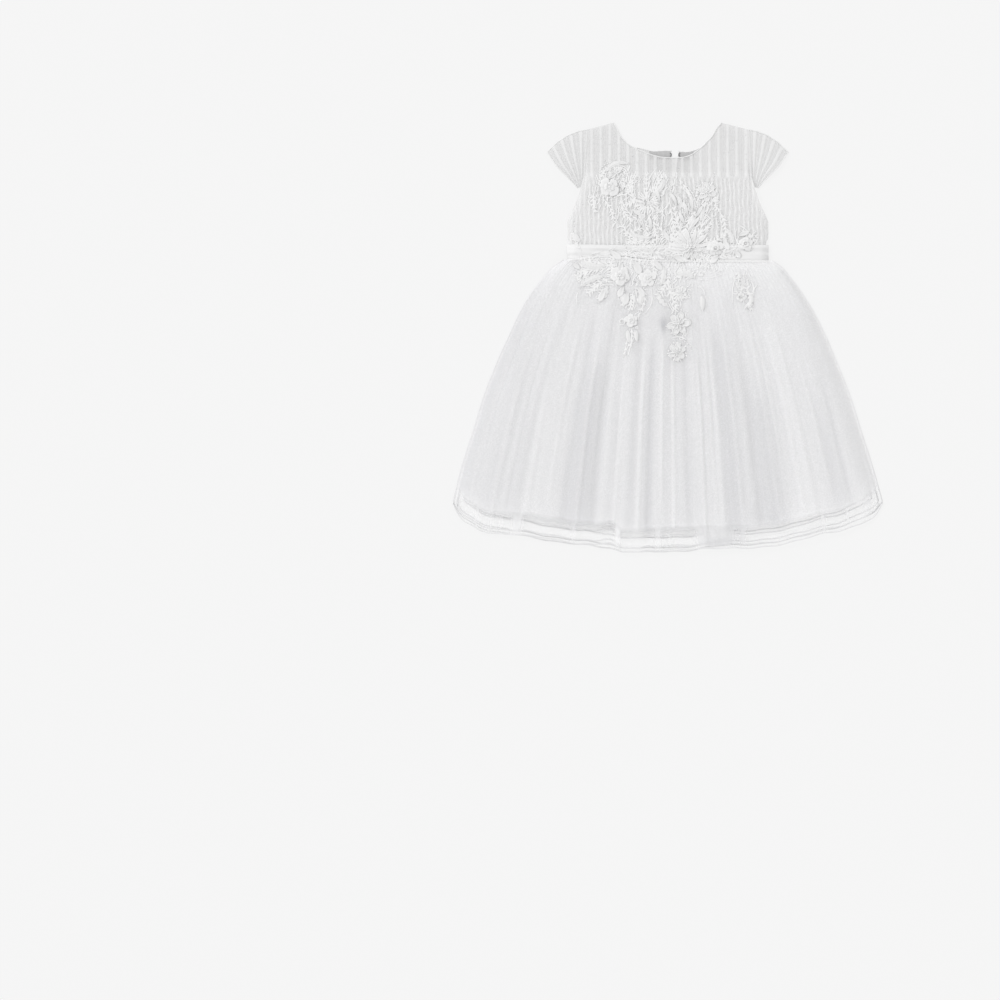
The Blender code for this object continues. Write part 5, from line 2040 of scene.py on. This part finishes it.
@dataclass
class LaceLeaf:
    """A leaf with a corded edge, a midrib and veins."""
    leaf: Leaf
    stations: int = 44
    clear: float = 0.6
    dome: float = 0.8
    cord: float = 0.5
    vein: float = 0.2
    tuck: float = 1.6

    def build(self, ground: Ground) -> None:
        """Make the leaf on what it is sewn to.

        Args:
            ground: what it is sewn to.
        """
        leaf = self.leaf
        run, aside = run_of(leaf.start, leaf.end)
        share = np.linspace(0.01, 0.99, self.stations)[:, None]
        t = np.array([-1.0, -0.97, -0.9, -0.72, -0.45, -0.2, 0.0, 0.2, 0.45, 0.72, 0.9, 0.97, 1.0])[None, :]
        lobe = np.abs(np.cos(share * math.pi * leaf.lobes)) ** 0.6 if leaf.lobes else 1.0
        width = leaf.half_width * (0.10 + 0.90 * np.sin(math.pi * share ** 0.8) ** 0.7)
        width = width * (0.5 + 0.5 * lobe)
        bend = leaf.bend * np.sin(math.pi * share)
        x = leaf.start.x + run[0] * share + aside[0] * (bend + width * t)
        y = leaf.start.y + run[1] * share + aside[1] * (bend + width * t)
        dome = (1 - t * t) * np.sin(math.pi * share) * self.dome
        midrib = self.cord * bell(t / 0.16)
        edge = self.cord * bell((np.abs(t) - 0.86) / 0.12)
        veins = self.vein * np.sin(share * 2 * math.pi * max(leaf.lobes * 2, 7) - np.abs(t) * 3.0)
        z = tucked(ground, x, y) + self.clear + dome + midrib + edge + veins * (1 - np.abs(t))
        z[:, (0, -1)] -= self.tuck
        # Painted shade between the cords, away from the midrib and the edge
        depth = np.clip(0.8 - midrib - edge, 0, 1) * 0.7 + 0 * x
        pile = Pile()
        pile.grid(x, y, z, depth=depth)
        settle(pile.made(leaf.node + "_lace", LACE), "applique", leaf.node)


@dataclass
class LaceCords:
    """The thread work between the flowers: stems, ferns, fans, loops and short strokes."""
    ground: Ground
    sides: int = 8
    flat: float = 0.45
    stem_width: float = 1.35
    paired_from: float = 1.3
    scroll_thick: float = 1.9
    frond_thick: float = 1.7
    curl_thick: float = 1.6
    frond_seed: int = 31
    fan_seed: int = 32
    curl_seed: int = 33
    stroke_seed: int = 34

    def lay(self, pile: Pile, xs: Array, ys: Array, thick: float) -> None:
        """Lay one tapered cord on the surface.

        Args:
            pile: where it goes.
            xs: places across.
            ys: places up the dress.
            thick: its thickness at its middle.
        """
        z = self.ground.along(xs, ys)
        if np.isnan(z).all():
            return
        z = softened(filled(z)[None, :], 0.5, 1.2)[0]
        share = np.linspace(0, 1, len(xs))
        taper = 0.35 + 0.65 * np.sin(math.pi * share) ** 0.6
        pile.tube(np.stack([xs, ys, z + thick * 0.12], axis=-1), thick * taper * 0.5, self.sides, self.flat)

    def stems(self, pile: Pile) -> None:
        """The long cords and the curls.

        Args:
            pile: where they go.
        """
        share = np.linspace(0, 1, 22)
        for stem in STEMS:
            xs, ys = bowed(stem.start, stem.end, stem.bend, share)
            self.lay(pile, xs, ys, stem.thick * self.stem_width)
            slope = np.hypot(np.gradient(xs), np.gradient(ys))
            beside = ((2.7, 3, 20), (-2.7, 1, 17)) if stem.thick > self.paired_from else ()
            for aside, first, last in beside:
                out_x = xs - aside * np.gradient(ys) / slope
                out_y = ys + aside * np.gradient(xs) / slope
                self.lay(pile, out_x[first:last], out_y[first:last], stem.thick)
        for scroll in SCROLLS:
            turn = math.radians(scroll.start) + share * scroll.turns * 2 * math.pi
            reach = scroll.radius * (1 - 0.6 * share)
            xs = scroll.middle.x + reach * np.cos(turn)
            self.lay(pile, xs, scroll.middle.y + reach * np.sin(turn), self.scroll_thick)

    def fronds(self, pile: Pile) -> None:
        """The ferns.

        Args:
            pile: where they go.
        """
        draw = np.random.default_rng(self.frond_seed)
        share = np.linspace(0, 1, 16)
        short = np.linspace(0, 1, 8)
        for frond in FRONDS:
            xs, ys = bowed(frond.start, frond.end, frond.bend, share)
            self.lay(pile, xs, ys, self.frond_thick)
            for index in range(frond.pairs):
                place = 1 + int((index + 0.4) / frond.pairs * 13)
                heading = math.atan2(ys[place + 1] - ys[place - 1], xs[place + 1] - xs[place - 1])
                reach = frond.length * (0.6 + 0.4 * math.sin(math.pi * (index + 1) / (frond.pairs + 1)))
                root = Point(xs[place], ys[place])
                for side in (-1, 1):
                    length = reach * draw.uniform(0.8, 1.15)
                    way = heading + side * math.radians(frond.slant + draw.uniform(-8, 8))
                    line = bowed(root, outward(root, length, way), -side * length * 0.14, short)
                    self.lay(pile, *line, draw.uniform(1.9, 2.6))

    def fans(self, pile: Pile) -> None:
        """The strokes that spread from one middle.

        Args:
            pile: where they go.
        """
        draw = np.random.default_rng(self.fan_seed)
        short = np.linspace(0, 1, 8)
        for fan in FANS:
            for turn in np.radians(np.linspace(fan.first, fan.last, fan.strokes)):
                way = turn + draw.uniform(-0.06, 0.06)
                start = outward(fan.middle, fan.inner * draw.uniform(0.9, 1.3), way)
                reach = fan.outer * draw.uniform(0.78, 1.1)
                end = outward(fan.middle, reach, way + draw.uniform(-0.1, 0.1))
                self.lay(pile, *bowed(start, end, draw.uniform(-1, 1), short), draw.uniform(1.8, 2.6))

    def curls(self, pile: Pile) -> None:
        """The crowds of small loops.

        Args:
            pile: where they go.
        """
        draw = np.random.default_rng(self.curl_seed)
        share = np.linspace(0, 1, 13)
        for crowd in CURLS:
            for index in range(crowd.count):
                away = crowd.reach * math.sqrt((index + 0.5) / crowd.count)
                middle = outward(crowd.middle, away, index * CROWD_TURN + draw.uniform(-0.3, 0.3))
                size = crowd.size * draw.uniform(0.6, 1.1)
                turn = draw.uniform(0, 2 * math.pi) + share * 2 * math.pi * draw.uniform(0.8, 1.1)
                reach = size * (1 - 0.25 * share)
                ys = middle.y + 0.8 * reach * np.sin(turn)
                self.lay(pile, middle.x + reach * np.cos(turn), ys, self.curl_thick)

    def strokes(self, pile: Pile) -> None:
        """The short strokes that fill the lace.

        Args:
            pile: where they go.
        """
        draw = np.random.default_rng(self.stroke_seed)
        short = np.linspace(0, 1, 9)
        for patch in PATCHES:
            for index in range(patch.count):
                away = math.sqrt((index + 0.5) / patch.count)
                way = index * CROWD_TURN + draw.uniform(-0.4, 0.4)
                root = Point(patch.middle.x + away * patch.half_x * math.cos(way),
                             patch.middle.y + away * patch.half_y * math.sin(way))
                turn = math.radians(patch.turn + draw.uniform(-16, 16)) + 0.35 * math.sin(way)
                tip = outward(root, draw.uniform(7.0, 13.0), turn)
                self.lay(pile, *bowed(root, tip, draw.uniform(-1.8, 1.8), short), draw.uniform(1.4, 2.0))

    def build(self) -> None:
        """Make each kind of thread work as one piece."""
        for name, fill in (
            ("lace_cords", self.stems), ("lace_ferns", self.fronds), ("lace_fans", self.fans),
            ("lace_loops", self.curls), ("lace_strokes", self.strokes),
        ):
            pile = Pile()
            fill(pile)
            settle(pile.made(name, LACE), "applique")


@dataclass
class LacePetals:
    """The smooth loose petals."""
    lift: float = 1.8

    def build(self, ground: Ground) -> Piece:
        """Make the petals as one piece.

        Args:
            ground: what they are sewn to.

        Returns:
            The petals, joined.
        """
        pile = Pile()
        for petal in LOOSE_PETALS:
            PetalShell(pile, ground).add(petal.root, petal.tip, petal.half_width, self.lift)
        return settle(pile.made("lace_petals", LACE), "applique")


@dataclass
class LaceBeads:
    """Beads sewn along the lace, and dark beads whose grey is painted shade."""

    def build(self, ground: Ground, pile: Pile) -> None:
        """Add the runs of beads to the flowers' own, and make the dark beads of painted shade.

        Args:
            ground: what they are sewn to.
            pile: the flowers' own beads.
        """
        for run in BEAD_RUNS:
            xs, ys = bowed(run.start, run.end, run.bend, np.linspace(0, 1, run.count))
            for x, y, z in zip(xs, ys, ground.along(xs, ys)):
                pile.bead((x, y, z + run.radius * 0.5), run.radius)
        settle(pile.made("lace_beads", BEAD), "applique")
        shaded_hearts = Pile()
        xs = np.array([spot.x for spot in SHADED_HEARTS])
        ys = np.array([spot.y for spot in SHADED_HEARTS])
        for x, y, z in zip(xs, ys, ground.along(xs, ys)):
            shaded_hearts.bead((x, y, z + SHADED_HEART_RADIUS * 0.9), SHADED_HEART_RADIUS)
        settle(shaded_hearts.made("lace_stones", SHADED_HEART), "applique")


# The surface, the light and the view

@dataclass
class Stage:
    """Pale surface, soft light and the photograph's view."""
    floor_glow: float = 0.81
    floor_grey: float = 0.10
    dome: float = 0.85
    key: float = 1.10
    key_angle: float = 22.0
    key_way: tuple[float, float, float] = (0.62, -0.42, -0.66)
    dome_colour: tuple[float, float, float, float] = (1.0, 0.998, 1.0, 1.0)
    floor_reach: float = 4.0
    floor_drop: float = 0.0002

    def floor(self) -> None:
        """The pale surface, which glows a little as a light table does."""
        mesh = bpy.data.meshes.new("surface")
        reach = self.floor_reach
        mesh.from_pydata([(-reach, -reach, 0), (reach, -reach, 0), (reach, reach, 0), (-reach, reach, 0)],
                         [], [(0, 1, 2, 3)])
        made = bpy.data.objects.new("surface", mesh)
        bpy.context.scene.collection.objects.link(made)
        made.location.z = -self.floor_drop
        paint = Paint("pale_surface")
        paint.feed("Base Color", grey(self.floor_grey))
        paint.feed("Roughness", 1.0)
        paint.feed("Specular IOR Level", 0.0)
        paint.feed("Emission Color", grey(1.0))
        paint.feed("Emission Strength", self.floor_glow)
        mesh.materials.append(paint.material)

    def light(self) -> None:
        """A white dome and one soft key from the upper left."""
        world = bpy.data.worlds.new("studio")
        world.use_nodes = True
        back = world.node_tree.nodes["Background"]
        back.inputs["Color"].default_value = self.dome_colour
        back.inputs["Strength"].default_value = self.dome
        bpy.context.scene.world = world
        lamp = bpy.data.lights.new("key", "SUN")
        lamp.energy = self.key
        lamp.angle = math.radians(self.key_angle)
        made = bpy.data.objects.new("key", lamp)
        made.rotation_euler = Vector(self.key_way).to_track_quat("-Z", "Y").to_euler()
        bpy.context.scene.collection.objects.link(made)

    def camera(self) -> None:
        """A long lens straight over the photograph's middle."""
        data = bpy.data.cameras.new("camera")
        data.sensor_width = SENSOR
        data.lens = SENSOR * VIEW_HEIGHT / VIEW_WIDTH
        data.clip_end = 50.0
        made = bpy.data.objects.new("camera", data)
        made.location = (VIEW_X * MM, VIEW_Y * MM, (VIEW_HEIGHT + SUBJECT_Z) * MM)
        bpy.context.scene.collection.objects.link(made)
        bpy.context.scene.camera = made
        bpy.context.scene.view_settings.view_transform = "Standard"

    def build(self) -> None:
        """Set the stage."""
        self.floor()
        self.light()
        self.camera()


@dataclass
class Dress:
    """The whole dress, laid from the surface up."""
    skirt: SkirtShape

    def skirt_backs(self) -> list[Piece]:
        """The back layers of the skirt.

        Returns:
            The layers, from the outside in.
        """
        made = []
        for seed, (layer, finish) in enumerate(SKIRT_CLOTHS, 40):
            coarse = layer._replace(columns=150, rows=50)
            made.append(SkirtPanel(self.skirt, coarse, False, finish, seed).build(Ground()))
        return made

    def skirt_fronts(self, under: Piece) -> list[Piece]:
        """The front layers of the skirt, from the lining out.

        Args:
            under: the back that they lie on.

        Returns:
            The layers, from the lining out.
        """
        made = []
        for seed, (layer, finish) in enumerate(SKIRT_CLOTHS[::-1], 20):
            under = SkirtPanel(self.skirt, layer, True, finish, seed).build(Ground(under))
            made.append(under)
        return made

    def bodice(self) -> Piece:
        """The bodice, its linings and its sleeves.

        Returns:
            The striped front.
        """
        backs = []
        for side, name in ((-1, "left"), (1, "right")):
            panel = BodicePanel("bodice_back_" + name, STRIPED, "overlay", NECK_BACK, side)
            backs.append(panel.build(None))
        for side, name in ((-1, "left"), (1, "right")):
            node = "bodice_back_lining_" + name
            BodicePanel(node, BODICE_LINING, "lining", NECK_BACK, side, 40).build(Ground(*backs))
        lining = BodicePanel("bodice_front_lining", BODICE_LINING, "lining", NECK_FRONT, 0, 40).build(None)
        front = BodicePanel("bodice_front", STRIPED, "overlay", NECK_FRONT).build(Ground(lining))
        NeckBinding().build(front, backs)
        for side, name in ((-1, "left"), (1, "right")):
            Sleeve("sleeve_" + name, side).build()
        return front

    def lace(self, ground: Ground) -> None:
        """The flowers, leaves, cords and beads.

        Args:
            ground: what it is sewn to.
        """
        beads = Pile()
        flowers = []
        for seed, flower in enumerate(FLOWERS, 60):
            flowers.append(LaceFlower(flower, seed).build(ground, beads))
        for leaf in LEAVES:
            LaceLeaf(leaf).build(ground)
        LaceCords(ground).build()
        petals = LacePetals().build(ground)
        LaceBeads().build(ground.with_more(petals, *flowers), beads)

    def build(self) -> None:
        """Lay the whole dress."""
        backs = self.skirt_backs()
        sash = Sash()
        sash.back()
        front = self.bodice()
        StripeBeads().build(Ground(front))
        fronts = self.skirt_fronts(backs[-1])
        band = sash.front(Ground(front, fronts[-1]))
        self.lace(Ground(fronts[-1], front, band))
        # The hook and bar get the near-black finish of painted shade
        for name in ("back_hook", "back_bar"):
            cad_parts[name].data.materials.clear()
            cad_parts[name].data.materials.append(SHADED_WIRE.material())


def main() -> None:
    """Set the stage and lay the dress."""
    logging.basicConfig(level=logging.INFO, format="%(name)s: %(message)s")
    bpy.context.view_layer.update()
    Stage().build()
    Dress(SkirtShape()).build()


if __name__ == "__main__":
    main()
